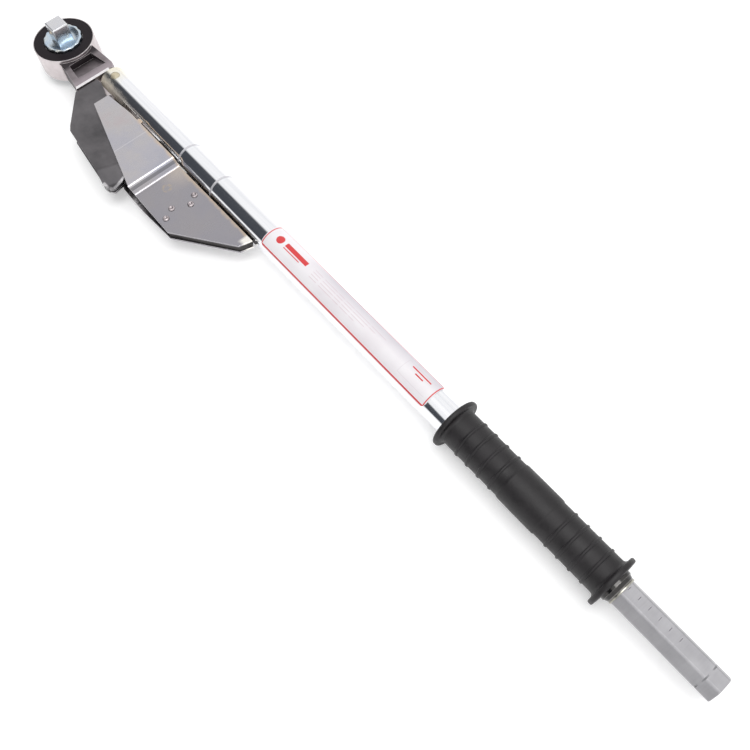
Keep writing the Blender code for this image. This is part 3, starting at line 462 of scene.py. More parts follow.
def gloss_black():
    made, tree = new_material("gloss_black")
    scuffs = noise(tree, 500, detail=5, roughness=0.7)
    base = ramp(scuffs, [(0.008, 0.005, 0.007), (0.019, 0.014, 0.018)], (0.4, 0.8))
    return finished(made, base, scuffs, (0.32, 0.52), 0.00003, 0.0, **{"Specular IOR Level": 0.14})


def rubber():
    """Moulded rubber: fine pores, slightly dusty where the noise is high."""
    made, tree = new_material("grip_rubber")
    dust = noise(tree, 70, detail=5, roughness=0.65)
    base = ramp(dust, [(0.0052, 0.0040, 0.0050), (0.0170, 0.0145, 0.0165)], (0.35, 0.75))
    height = plus(noise(tree, 3000, detail=2), 0.4, times(dust, 0.6))
    others = {"Normal": bump(height, 0.0002), "Specular IOR Level": 0.4}
    return finished(made, base, dust, (0.40, 0.58), metallic=0.0, **others)


def hexagon_steel():
    """Satin light grey, with turning marks across the length."""
    made, tree = new_material("hexagon_satin")
    base = ramp(noise(tree, 50, detail=4), [(0.32, 0.315, 0.33), (0.395, 0.39, 0.405)])
    base = mix(edge_wear(tree, 0.0005), base, (0.66, 0.65, 0.67))
    lines = noise(tree, 900, (1, 0.05, 0.05), detail=2)
    return finished(made, base, lines, (0.38, 0.52), 0.00002, 0.85)


cast_dark = neck_casting()
lever_steel = lever_sheet()
guard_zinc = guard_sheet()
chrome_tube = chrome()
ring_black = gloss_black()
grip_rubber = rubber()
hexagon_satin = hexagon_steel()


# ---------------- mesh helpers
def paint(obj, *materials):
    obj.data.materials.clear()
    for material in materials:
        obj.data.materials.append(material)


def publish(obj, body, node, material=None):
    """Places a finished piece: it rides on its body and stands for a CAD node."""
    if material:
        paint(obj, material)
    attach(obj, body)
    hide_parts(node)


def from_bmesh(name, bm, location=MIDPLANE):
    mesh = bpy.data.meshes.new(name)
    bmesh.ops.recalc_face_normals(bm, faces=bm.faces[:])
    bm.to_mesh(mesh)
    bm.free()
    obj = bpy.data.objects.new(name, mesh)
    obj.location = location
    bpy.context.scene.collection.objects.link(obj)
    return obj


def smooth(obj, angle=35):
    """Smooth shading that keeps large flat faces flat and edges above the angle sharp."""
    obj.data.shade_smooth()
    obj.data.set_sharp_from_angle(angle=radians(angle))
    weighted = obj.modifiers.new("Weighted normals", "WEIGHTED_NORMAL")
    weighted.keep_sharp = True
    return settle(obj)


def arc(centre, radius, start, end, count):
    """Points along an arc, angles in degrees."""
    step = (end - start) / (count - 1)
    turns = [radians(start + step * k) for k in range(count)]
    return [(centre[0] + radius * cos(a), centre[1] + radius * sin(a)) for a in turns]


def circle(centre, radius, count):
    return arc(centre, radius, 0, 360 * (count - 1) / count, count)


def revolve(name, profile, centre=(0, 0, 0), steps=96, closed=False, axis="Z"):
    """A turned piece. The profile is (radius, height along the axis)."""
    bm = bmesh.new()
    rings = []
    for radius, height in profile:
        ring = []
        for k in range(steps if radius else 1):
            u, v = radius * cos(tau * k / steps), radius * sin(tau * k / steps)
            ring.append(bm.verts.new((height, u, v) if axis == "X" else (u, v, height)))
        rings.append(ring)
    for first, second in zip(rings, rings[1:] + rings[:closed]):
        for k in range(steps):
            after = (k + 1) % steps
            if len(first) == 1:
                bm.faces.new((first[0], second[k], second[after]))
            elif len(second) == 1:
                bm.faces.new((first[k], first[after], second[0]))
            else:
                bm.faces.new((first[k], first[after], second[after], second[k]))
    bmesh.ops.translate(bm, verts=bm.verts[:], vec=centre)
    return from_bmesh(name, bm)


def turned(name, profile, steps=96, closed=False):
    """A piece turned about the tube's axis."""
    return revolve(name, profile, (0, TUBE_Y, 0), steps, closed, "X")


def prism(name, outline, low_z, high_z, holes=()):
    """A flat outline with its holes, extruded between two heights."""
    curve = bpy.data.curves.new(name, "CURVE")
    curve.dimensions = "2D"
    curve.fill_mode = "BOTH"
    curve.extrude = (high_z - low_z) / 2
    for loop in (outline, *holes):
        spline = curve.splines.new("POLY")
        spline.points.add(len(loop) - 1)
        for point, (x, y) in zip(spline.points, loop):
            point.co = (x, y, 0, 1)
        spline.use_cyclic_u = True
    source = bpy.data.objects.new(name + "_outline", curve)
    bpy.context.scene.collection.objects.link(source)
    mesh = evaluated_mesh(source)
    bpy.data.objects.remove(source, do_unlink=True)
    bm = bmesh.new()
    bm.from_mesh(mesh)
    bmesh.ops.remove_doubles(bm, verts=bm.verts[:], dist=1e-6)
    bmesh.ops.translate(bm, verts=bm.verts[:], vec=(0, 0, (low_z + high_z) / 2))
    bmesh.ops.dissolve_limit(bm, angle_limit=radians(0.5), verts=bm.verts[:], edges=bm.edges[:])
    return from_bmesh(name, bm)


def block(name, low, high):
    bm = bmesh.new()
    bmesh.ops.create_cube(bm, size=1)
    bmesh.ops.scale(bm, vec=Vector(high) - Vector(low), verts=bm.verts[:])
    bmesh.ops.translate(bm, verts=bm.verts[:], vec=(Vector(low) + Vector(high)) / 2)
    return from_bmesh(name, bm)


def rod(name, radius, centre, low_z, high_z, steps=64):
    """An upright cylinder of the plan."""
    profile = [(0, high_z), (radius, high_z), (radius, low_z), (0, low_z)]
    return revolve(name, profile, (*centre, 0), steps)


def evaluated_mesh(obj):
    bpy.context.view_layer.update()
    graph = bpy.context.evaluated_depsgraph_get()
    return bpy.data.meshes.new_from_object(obj.evaluated_get(graph))


def settle(obj):
    """Applies every modifier to the mesh."""
    mesh = evaluated_mesh(obj)
    obj.modifiers.clear()
    obj.data = mesh
    return obj


def combine(target, helper, operation="DIFFERENCE", material=None):
    """Cuts, joins or intersects a piece with a helper, which is then removed.

    The faces that the helper leaves take its material.
    """
    if material:
        helper.data.materials.append(material)
    boolean = target.modifiers.new("Boolean", "BOOLEAN")
    boolean.operation = operation
    boolean.solver = "EXACT"
    boolean.material_mode = "TRANSFER"
    boolean.object = helper
    settle(target)
    bpy.data.objects.remove(helper, do_unlink=True)


def soften(obj, width, segments=3):
    """Rounds the sharp edges."""
    bm = bmesh.new()
    bm.from_mesh(obj.data)
    bmesh.ops.remove_doubles(bm, verts=bm.verts[:], dist=2e-6)
    bmesh.ops.dissolve_limit(bm, angle_limit=radians(1), verts=bm.verts[:], edges=bm.edges[:])
    bm.to_mesh(obj.data)
    bm.free()
    bevel = obj.modifiers.new("Bevel", "BEVEL")
    bevel.width = width
    bevel.segments = segments
    bevel.limit_method = "ANGLE"
    bevel.angle_limit = radians(30)
    bevel.use_clamp_overlap = True
    bevel.miter_outer = "MITER_ARC"
    return smooth(settle(obj), 50)


def bent_sheet(name, outline, creases, top, thickness, side, roundness=0.004):
    """A folded sheet. Beyond each crease (point, direction, slope) it falls by the slope.

    Each fold is spread over a short run, so it has a bend radius. side is 1 for
    the sheet above the middle plane and -1 for its twin below it.
    """
    strips, half = 6, roundness / 2
    bm = bmesh.new()
    bm.faces.new([bm.verts.new((x, y, 0)) for x, y in outline])
    bmesh.ops.recalc_face_normals(bm, faces=bm.faces[:])
    if bm.faces[:][0].normal.z < 0:
        bmesh.ops.reverse_faces(bm, faces=bm.faces[:])
    for (px, py), (fx, fy), _ in creases:
        for k in range(strips + 1):
            shift = roundness * (k / strips - 0.5)
            geom = bm.verts[:] + bm.edges[:] + bm.faces[:]
            plane = {"plane_co": (px + shift * fx, py + shift * fy, 0), "plane_no": (fx, fy, 0)}
            bmesh.ops.bisect_plane(bm, geom=geom, dist=1e-7, **plane)
    for vert in bm.verts:
        height = top
        for (px, py), (fx, fy), slope in creases:
            beyond = (vert.co.x - px) * fx + (vert.co.y - py) * fy
            share = min(max(beyond / roundness + 0.5, 0), 1)
            height -= slope * (half * share * share + max(0, beyond - half))
        vert.co.z = side * height
    obj = from_bmesh(name, bm)
    if (obj.data.polygons[0].normal.z > 0) != (side > 0):
        obj.data.flip_normals()
    solidify = obj.modifiers.new("Solidify", "SOLIDIFY")
    solidify.thickness = thickness
    solidify.offset = -1
    solidify.use_even_offset = True
    return settle(obj)


# ---------------- ratchet head
NECK_HALF = 0.0112
END_RIB_HALF = 0.0125
NECK_END_X = 0.0740
RIB_START_X = 0.0705
GEAR_CAVITY = 0.0243


def pocket_cutter(side):
    """Hollow in the neck: steep at the ring, with a floor that rises towards the handle."""
    outline = [(0.0372, -0.0160), (0.0600, -0.0185), (0.0610, 0.0172), (0.0365, 0.0130)]
    cutter = prism("pocket", outline, 0.0, 0.02)
    for vert in cutter.data.vertices:
        if vert.co.z < 0.01:
            vert.co.z = 0.0035 + 0.0060 * (vert.co.x - 0.0365) / 0.0240
        vert.co.z *= side
    if side < 0:
        cutter.data.flip_normals()
    return cutter


def dress_neck(obj):
    """Rough dark faces between ring and end rib, and a painted highlight: near-white metal on the end rib's
    top and bottom faces.
    """
    for face in obj.data.polygons:
        x, y, z = face.center
        if x < 0.0345 or hypot(x, y) < HEAD_RADIUS + 0.0003:
            continue
        if x < RIB_START_X and abs(z) < NECK_HALF + 0.0002:
            face.material_index = 1
        # the end rib's top and bottom faces take the painted highlight
        elif RIB_START_X - 0.0002 < x < NECK_END_X and abs(z) > END_RIB_HALF - 0.0007:
            face.material_index = 2


def ratchet_head():
    neck = [
        (0.0180, -0.0235), (0.0300, -0.0225), (0.0400, -0.0232), (0.0660, -0.0266),
        (0.0715, -0.0282), (0.0715, 0.0190), (0.0680, 0.0225), (0.0645, 0.0232),
        (0.0400, 0.0215), (0.0300, 0.0208), (0.0180, 0.0215),
    ]
    head = prism("ratchet_head_body", neck, -NECK_HALF, NECK_HALF)
    rib = [
        (RIB_START_X, -0.0275), (NECK_END_X, -0.0290), (NECK_END_X, 0.0146),
        (RIB_START_X, 0.0150),
    ]
    combine(head, prism("end_rib", rib, -END_RIB_HALF, END_RIB_HALF), "UNION")
    combine(head, rod("ring", HEAD_RADIUS, (0, 0), -HEAD_HALF, HEAD_HALF, 128), "UNION")
    root = [
        (0.0700, -0.0280), (0.0765, -0.0295), (0.1120, -0.0575), (0.1240, -0.0610),
        (0.1240, -0.0165), (0.0980, -0.0075), (0.0880, -0.0050), (0.0700, -0.0050),
    ]
    combine(head, prism("lever_root", root, -0.0077, 0.0077), "UNION")
    tongue = [
        (0.0700, -0.0080), (0.0960, -0.0120), (0.1010, 0.0060),
        *arc(FULCRUM, 0.0105, -20, 90, 16),
        (0.0790, 0.0225), (0.0700, 0.0215),
    ]
    combine(head, prism("tongue", tongue, -0.0044, 0.0044), "UNION")
    combine(head, rod("hub", 0.0088, FULCRUM, -0.0105, 0.0105), "UNION")
    combine(head, rod("gear_cavity", GEAR_CAVITY, (0, 0), -0.02, 0.02, 96))
    floor = HEAD_HALF - COVER_THICKNESS - GAP
    for side in (-1, 1):
        low, high = sorted((side * floor, side * 0.02))
        combine(head, rod("cover_recess", COVER_RADIUS + GAP, (0, 0), low, high, 128))
        combine(head, pocket_cutter(side))
    combine(head, block("pawl_room", (0.015, -0.0075, -0.0075), (0.034, 0.0075, 0.0075)))
    combine(head, rod("pin_bore", PIN_BORE, FULCRUM, -0.02, 0.02, 48))
    soften(head, 0.0006)
    paint(head, forged_steel, cast_dark, rib_highlight_steel)
    dress_neck(head)
    publish(head, "lever", "ratchet_head")


def cover_ring(name, side):
    """Black ring with rounded edges, let into the head."""
    outer, inner = COVER_RADIUS, 0.0223
    top, base, edge = HEAD_HALF, HEAD_HALF - COVER_THICKNESS, 0.0005
    turns = (0, 0.5, 1.0, pi / 2)
    profile = [
        *[(outer - edge + edge * sin(a), top - edge + edge * cos(a)) for a in turns],
        (outer, base), (inner, base),
        *[(inner + edge - edge * cos(a), top - edge + edge * sin(a)) for a in turns],
    ]
    ring = revolve(name + "_moulded", [(r, side * z) for r, z in profile], steps=128, closed=True)
    publish(smooth(ring), "lever", name, ring_black)


def square_drive():
    """Scalloped, dished disc with the square on it, and the shank through the gear."""
    base = HEAD_HALF - COVER_THICKNESS + GAP
    rim_top = 0.0170
    profile = [
        (0, rim_top - 0.0026), (0.0120, rim_top - 0.0025), (0.0148, rim_top - 0.0021),
        (0.0172, rim_top - 0.0010), (0.0184, rim_top - 0.0002), (0.0192, rim_top),
        (0.0208, rim_top - 0.0001), (0.0215, rim_top - 0.0005),
        (DISC_RADIUS, rim_top - 0.0012), (DISC_RADIUS, base), (0, base),
    ]
    disc = revolve("drive_disc", profile, steps=168)
    scallops, depth, inner = 14, 0.042, 0.0178
    for vert in disc.data.vertices:
        reach = hypot(vert.co.x, vert.co.y)
        if reach > inner:
            wave = 0.5 - 0.5 * cos(scallops * atan2(vert.co.y, vert.co.x))
            shrink = 1 - depth * wave * (reach - inner) / (DISC_RADIUS - inner)
            vert.co.x *= shrink
            vert.co.y *= shrink
    half = SQUARE / 2
    post = block("post", (-half, -half, base + 0.0005), (half, half, SQUARE_TIP_Z))
    wide, deep = 0.0027, 0.012
    bore = revolve("detent_hole", [(0, 0), (wide, 0), (wide, deep), (0, deep)], steps=48)
    bore.data.transform(Matrix.Rotation(pi / 2, 4, "X"))
    bore.data.transform(Matrix.Translation((0, -0.0015, DETENT_Z)))
    bm = bmesh.new()
    bm.from_mesh(post.data)
    tip = [e for e in bm.edges if all(v.co.z > SQUARE_TIP_Z - 1e-5 for v in e.verts)]
    bmesh.ops.bevel(bm, geom=tip, offset=0.0018, segments=4, affect="EDGES", profile=0.5)
    tall = [e for e in bm.edges if abs(e.verts[0].co.z - e.verts[1].co.z) > 0.015]
    bmesh.ops.bevel(bm, geom=tall, offset=0.0016, segments=4, affect="EDGES", profile=0.5)
    bm.to_mesh(post.data)
    bm.free()
    combine(post, bore)
    combine(disc, post, "UNION")
    shank = 0.0110
    low = -(HEAD_HALF - COVER_THICKNESS)
    combine(disc, block("shank", (-shank, -shank, low), (shank, shank, base + 0.001)), "UNION")
    combine(disc, rod("screw_hole", 0.0036, (0, 0), low - 0.005, 0.001, 32))
    disc.name = "square_drive_plated"
    publish(smooth(disc, 30), "drive", "square_drive", bright_zinc)


def drive_back():
    """Washer and socket screw that hold the drive from behind."""
    face = -(HEAD_HALF - COVER_THICKNESS + GAP)
    tall, edge = 0.0045, 0.0006
    profile = [
        (DISC_RADIUS, face), (DISC_RADIUS, face - tall + edge),
        (DISC_RADIUS - edge, face - tall), (0.0085, face - tall),
        (0.0080, face - tall + 0.0004), (0.0044, face - tall + 0.0004), (0.0044, face),
    ]
    washer = revolve("drive_washer_plated", profile, closed=True)
    publish(smooth(washer), "drive", "drive_washer", bright_zinc)
    seat = span("drive_screw", 2)[0] + 0.0040
    profile = [
        (0, -0.0005), (0.0032, -0.0005), (0.0032, seat), (0.0070, seat),
        (0.0070, seat - 0.0032), (0.0067, seat - 0.0037), (0.0061, seat - 0.0040),
        (0, seat - 0.0040),
    ]
    screw = revolve("drive_screw_head", profile, steps=72)
    combine(screw, rod("hex_socket", 0.0034, (0, 0), seat - 0.006, seat - 0.0012, 6))
    publish(smooth(screw, 30), "drive", "drive_screw", black_oxide)


def detent_ball():
    bm = bmesh.new()
    bmesh.ops.create_icosphere(bm, subdivisions=4, radius=DETENT_RADIUS)
    place = (0, span("detent_ball", 1)[0] + DETENT_RADIUS, DETENT_Z)
    bmesh.ops.translate(bm, verts=bm.verts[:], vec=place)
    publish(smooth(from_bmesh("detent_ball_polished", bm), 60), "detent", "detent_ball", chrome_tube)


# ---------------- lever plates and guards
def lever_plate(name, side):
    outline = [
        (NECK_END_X + 0.0012, -0.0315), (0.1125, -0.0615), (0.1185, -0.0652),
        (0.1820, -0.0732),
        *LEVER_TIP,
        (0.2000, -0.0420), (0.1900, -0.0270), (0.1650, -0.0180), (0.1040, -0.0090),
        (0.0840, -0.0030), (NECK_END_X + 0.0012, -0.0030),
    ]
    run, slope = 0.0200, 0.38
    unfold = [place + run * way for place, way in zip(LEVER_FOLD, LEVER_FALL)]
    creases = [(LEVER_FOLD, LEVER_FALL, slope), (unfold, LEVER_FALL, -slope)]
    plate = bent_sheet(name + "_sheared", outline, creases, PLATE_TOP_Z, 0.0025, side)
    low, high = sorted((0.001 * side, 0.02 * side))
    combine(plate, rod("hole", 0.0048, LINK_PIN, low, high, 48))
    publish(soften(plate, 0.0003, segments=2), "lever", name, lever_steel)


def guard_outline(free_edge, tab=()):
    """Plan of a guard: front corner, free edge, rear corner, then along the tube."""
    edge = GUARD_EDGE_Y
    return [
        (0.1102, -0.0273),
        *free_edge,
        (0.2960, -0.0615), (0.3580, -0.0188), (0.3620, edge),
        *tab,
        (0.1500, edge), (0.1102, -0.0088),
    ]


def rivet_spots(prefix):
    return [middle(node)[:2] for node in sorted(frame["nodes"]) if node.startswith(prefix)]


def guard(name, outline, creases, side, roundness, rivet_prefix):
    low, high = sorted((0.0, 0.02 * side))
    folded = name + "_folded"
    sheet = bent_sheet(folded, outline, creases, GUARD_TOP_Z, GUARD_THICKNESS, side, roundness)
    for spot in rivet_spots(rivet_prefix):
        combine(sheet, rod("hole", RIVET_HOLE, spot, low, high, 32))
    publish(soften(sheet, 0.0003, segments=2), "tube", name, guard_zinc)


def guard_upper():
    fall = (GUARD_TOP_Z - GUARD_REAR_Z) / GUARD_STEP_RUN
    creases = [
        ((GUARD_CREASE_X, 0), (-1, 0), -0.035),
        ((GUARD_STEP_X, 0), (1, 0), fall),
        ((GUARD_STEP_X + GUARD_STEP_RUN, 0), (1, 0), -fall),
    ]
    edge, stands = GUARD_EDGE_Y, GUARD_EDGE_Y + 0.0030
    tab = [(0.1665, edge), (0.1655, stands), (0.1605, stands), (0.1595, edge)]
    outline = guard_outline([(0.2275, -0.0612), (0.2345, -0.0600)], tab)
    guard("guard_upper", outline, creases, 1, 0.0045, "guard_rivet")


def guard_lower():
    start, run = 0.2320, 0.0590
    slope = (GUARD_TOP_Z - GUARD_REAR_Z) / run
    creases = [((start, 0), (1, 0), slope), ((start + run, 0), (1, 0), -slope)]
    outline = guard_outline([(0.2040, -0.0605), (0.2450, -0.0620)])
    guard("guard_lower", outline, creases, -1, 0.006, "lower_guard_rivet")


def guard_bracket():
    edge = TUBE_Y - TUBE_RADIUS - GAP
    outline = [
        (0.2580, edge), (0.2580, -0.0570), (0.2950, -0.0600), (0.3570, -0.0178),
        (0.3600, -0.0100), (0.3600, edge),
    ]
    spots = rivet_spots("guard_rivet") + rivet_spots("lower_guard_rivet")
    holes = [circle(spot, RIVET_HOLE, 32) for spot in spots]
    plate = prism("guard_bracket_plate", outline, -BRACKET_HALF, BRACKET_HALF, holes)
    # the bracket carries the near-black painted shade of the gap between the guards
    publish(soften(plate, 0.0003, segments=2), "tube", "guard_bracket", bracket_shade)


def rivets():
    """Low domed heads with a set dimple, on the shanks of the frame's rivets."""
    for node in sorted(frame["nodes"]):
        if "rivet" not in node:
            continue
        x, y, _ = middle(node)
        low, high = span(node, 2)
        upper = node.startswith("guard")
        seat = high - 0.0011 if upper else low + 0.0011
        flip = 1 if upper else -1
        far = low if upper else high
        dome = [
            (0, 0.0001), (0.0009, 0.0002), (0.0015, 0.0008), (0.0019, 0.0012),
            (0.0024, 0.0011), (0.0031, 0.0006), (0.0035, 0.0001),
        ]
        profile = [(radius, seat + flip * rise) for radius, rise in dome]
        profile += [(0.0035, seat), (0.0020, seat), (0.0020, far), (0, far)]
        piece = revolve(node + "_set", profile, (x, y, 0), steps=48)
        publish(smooth(piece, 60), "tube", node, rivet_zinc)


# ---------------- tube, pins, label
def crimp(x):
    """A shallow groove rolled round the tube, in the order of its profile."""
    wide, narrow, deep = 0.0018, 0.0006, 0.0004
    return [
        (TUBE_RADIUS, x + wide), (TUBE_RADIUS - deep, x + narrow),
        (TUBE_RADIUS - deep, x - narrow), (TUBE_RADIUS, x - wide),
    ]


def main_tube():
    bore, edge = 0.0143, 0.0006
    start, end = TUBE_X
    profile = [
        (TUBE_RADIUS - edge, end), (TUBE_RADIUS - edge * 0.3, end - edge * 0.3),
        (TUBE_RADIUS, end - edge),
        *crimp(TUBE_CRIMPS_X[0]),
        *crimp(TUBE_CRIMPS_X[1]),
        (TUBE_RADIUS, start + edge), (TUBE_RADIUS - edge * 0.3, start + edge * 0.3),
        (TUBE_RADIUS - edge, start), (bore, start), (bore, end),
    ]
    tube = turned("main_tube_chromed", profile, 128, closed=True)
    slot = block("slot", (start - 0.01, TUBE_Y - 0.03, -0.005), (0.272, TUBE_Y - 0.002, 0.005))
    combine(tube, slot)
    combine(tube, rod("holes", PIN_BORE, FULCRUM, -0.02, 0.02, 48))
    publish(smooth(tube, 35), "tube", "main_tube", chrome_tube)


def fulcrum_pin():
    """The pin's ends are dressed to the round of the tube."""
    pin = rod("fulcrum_pin_dressed", 0.0050, FULCRUM, -0.0165, 0.0165, 64)
    reach = TUBE_RADIUS - 0.0001
    dress = turned("dress", [(0, 0.2), (reach, 0.2), (reach, 0), (0, 0)], 128)
    combine(pin, dress, "INTERSECT")
    publish(smooth(pin, 35), "tube", "fulcrum_pin", pin_bronze)


def link_pin():
    low, high = span("link_pin", 2)
    edge = 0.0004
    profile = [
        (0, high), (0.0045 - edge, high), (0.0045, high - edge), (0.0045, low + edge),
        (0.0045 - edge, low), (0, low),
    ]
    pin = revolve("link_pin_turned", profile, (*LINK_PIN, 0), 48)
    publish(smooth(pin, 35), "lever", "link_pin", plain_steel)


def print_layer(along, around, rectangles):
    """1 inside any of the rectangles (along from, to, around from, to), 0 elsewhere."""
    total = None
    for low_x, high_x, low_a, high_a in rectangles:
        inside = times(
            math("COMPARE", along, (low_x + high_x) / 2, (high_x - low_x) / 2),
            math("COMPARE", around, (low_a + high_a) / 2, (high_a - low_a) / 2),
        )
        total = inside if total is None else math("MAXIMUM", total, inside)
    return total


def label_material():
    """Pale film with a red border, a plain red disc and bars, and grey ruled and dashed lines.

    Nothing on it is lettering: rows of dashes stand where the print would be.
    """
    made, tree = new_material("label_print")
    along, across, height = split_place(tree)
    side = math("SUBTRACT", across, TUBE_Y)
    around = times(math("ARCTAN2", side, height), TUBE_RADIUS)
    (start, end), half = LABEL_X, LABEL_HALF_ARC
    line, inset = 0.0011, 0.0010
    left, right, top = start + inset, end - inset, half - inset
    red = [
        (left, right, top - line, top),
        (left, right, -top, 1.7 * line - top),
        (left, left + line, -top, top),
        (right - line, right, -top, top),
        (start + 0.024, start + 0.056, -0.0005, 0.0045),
        (start + 0.024, start + 0.048, -0.0028, -0.0018),
        (end - 0.034, end - 0.010, 0.0045, 0.0060),
        (end - 0.027, end - 0.017, 0.0008, 0.0022),
    ]
    reach = squared_distance(along, around, (start + 0.0155, 0.0012))
    disc = math("LESS_THAN", reach, 0.0045**2)
    red = math("MAXIMUM", print_layer(along, around, red), disc)
    dashes = math("GREATER_THAN", noise(tree, 150, (1, 0.001, 0.001), detail=1), 0.40)
    rows = [
        (start + 0.066, end - 0.070 - 0.012 * k, 0.0042 - 0.0030 * k, 0.0048 - 0.0030 * k)
        for k in range(4)
    ]
    rows = times(times(print_layer(along, around, rows), dashes), 0.6)
    left, right, high, thin = end - 0.041, end - 0.006, 0.0085, 0.0005
    box = [
        (left, right, -high, thin - high),
        (left, right, high - thin, high),
        (left, left + thin, -high, high),
    ]
    box = times(print_layer(along, around, box), 0.35)
    # painted shade: the film darkens towards the tube's +Y side
    shade = remap(around, 0.0, half, 0.0, 0.85)
    shade = times(shade, remap(along, start + 0.045, start + 0.085))
    base = layered(
        ramp(noise(tree, 30, detail=3), [(0.70, 0.66, 0.69), (0.76, 0.74, 0.76)]),
        (shade, (0.40, 0.375, 0.43)),
        (rows, (0.52, 0.38, 0.42)),
        (box, (0.50, 0.42, 0.46)),
        (red, (0.58, 0.03, 0.035)),
    )
    coat = {"Coat Weight": 0.15, "Coat Roughness": 0.25}
    return finished(made, base, noise(tree, 900, detail=2), (0.32, 0.42), metallic=0.0, **coat)


LABEL_HALF_ARC = TUBE_RADIUS * radians(61)


def label_film():
    """Film with round corners, wrapped on the tube's upper side."""
    inner, thickness = TUBE_RADIUS + 0.00015, 0.00015
    corner = 0.006
    rows = 48
    columns = [0, 0.001, 0.0022, 0.004, 0.006]
    start, end = LABEL_X
    length = end - start
    stations = columns + [length / 2] + [length - c for c in reversed(columns)]
    bm = bmesh.new()
    grid = []
    for distance in stations:
        near = min(distance, length - distance)
        pull = 0.0
        if near < corner:
            pull = corner - sqrt(max(0.0, corner**2 - (corner - near) ** 2))
        reach = (LABEL_HALF_ARC - pull) / TUBE_RADIUS
        line = []
        for k in range(rows + 1):
            angle = pi / 2 + reach * (2 * k / rows - 1)
            line.append(bm.verts.new((start + distance, inner * cos(angle), inner * sin(angle))))
        grid.append(line)
    for first, second in zip(grid, grid[1:]):
        for k in range(rows):
            bm.faces.new((first[k], second[k], second[k + 1], first[k + 1]))
    bmesh.ops.translate(bm, verts=bm.verts[:], vec=(0, TUBE_Y, 0))
    film = from_bmesh("label_film_printed", bm)
    if film.data.polygons[rows // 2].normal.z < 0:
        film.data.flip_normals()
    solidify = film.modifiers.new("Solidify", "SOLIDIFY")
    solidify.thickness = thickness
    solidify.offset = 1
    settle(film)
    publish(smooth(film, 60), "tube", "label_film", label_material())


# ---------------- grip, ring, hexagon
GRIP_RADIUS = 0.0186
GRIP_RIBS = (0.6574, 0.6704, 0.6842, 0.6983, 0.7649, 0.7782, 0.7914, 0.8049)
GRIP_BARREL = (0.7080, 0.7505)


def quarter(centre, radius, start):
    """Points of a quarter round, from the start angle in quarter turns."""
    turns = [pi / 2 * (start + k / 6) for k in range(7)]
    return [(centre[0] + radius * sin(a), centre[1] - radius * cos(a)) for a in turns]


def flange(start, flip):
    """Rounded flange at one end of the grip: (radius, x) from its outer face inwards."""
    thick, edge, face, root = 0.0060, 0.0017, 0.0006, 0.0032
    rim = FLANGE_RADIUS - edge
    points = [
        (GRIP_RADIUS - 0.0012, 0.0),
        (GRIP_RADIUS + 0.0020, 0.0002),
        *quarter((rim, face + edge), edge, 0),
        *quarter((rim, thick - face - edge), edge, 1),
        *[
            (GRIP_RADIUS + root - root * sin(a), thick + 0.0026 - root * cos(a))
            for a in [pi / 2 * k / 6 for k in range(1, 7)]
        ],
    ]
    return [(radius, start + flip * x) for radius, x in points]


def grip_profile():
    start, end = GRIP_X
    rib, half, foot = 0.0010, 0.0015, 0.0008
    front, rear = GRIP_BARREL
    swell = [
        (0, front - 0.0012), (0.0006, front), (0.0008, front + 0.0015), (0.0009, (front + rear) / 2),
        (0.0008, rear - 0.0015), (0.0006, rear), (0, rear + 0.0012),
    ]
    points = flange(start, 1)
    for x in sorted([*GRIP_RIBS, front]):
        if x == front:
            points += [(GRIP_RADIUS + rise, place) for rise, place in swell]
            continue
        turns = [pi * k / 6 for k in range(7)]
        points.append((GRIP_RADIUS, x - half - foot))
        points += [(GRIP_RADIUS + rib * sin(a), x - half * cos(a)) for a in turns]
        points.append((GRIP_RADIUS, x + half + foot))
    points += reversed(flange(end, -1))
    bore = TUBE_RADIUS + GAP
    points += [(bore, end), (bore, start)]
    return points[::-1]


def rubber_grip():
    grip = turned("rubber_grip_moulded", grip_profile(), 128, closed=True)
    publish(smooth(grip, 50), "tube", "rubber_grip", grip_rubber)


def end_ring():
    """Collar on the tube's end, coloured near black as a painted reflection of the grip's black flange,
    tapering to the thin plated lip that the scale is read at.
    """
    start, end = span("end_ring", 0)
    bore, sleeve, collar, lip = 0.0136, 0.0140, 0.0157, 0.0140
    shoulder = TUBE_X[1] + GAP
    profile = [
        (bore, end), (lip - 0.0003, end), (lip, end - 0.0003), (lip, end - 0.0013),
        (lip - 0.0003, end - 0.0016), (lip - 0.0003, end - 0.0024),
        (collar - 0.0008, end - 0.0052), (collar, end - 0.0060), (collar, shoulder),
        (sleeve, shoulder), (sleeve, start), (bore, start),
    ]
    ring = turned("end_ring_turned", profile, closed=True)
    # the collar takes the painted reflection, the lip its plated zinc
    paint(ring, collar_dark_reflection, lip_zinc)
    for face in ring.data.polygons:
        face.material_index = 1 if face.center.x > end - 0.0018 else 0
    publish(smooth(ring, 35), "tube", "end_ring")


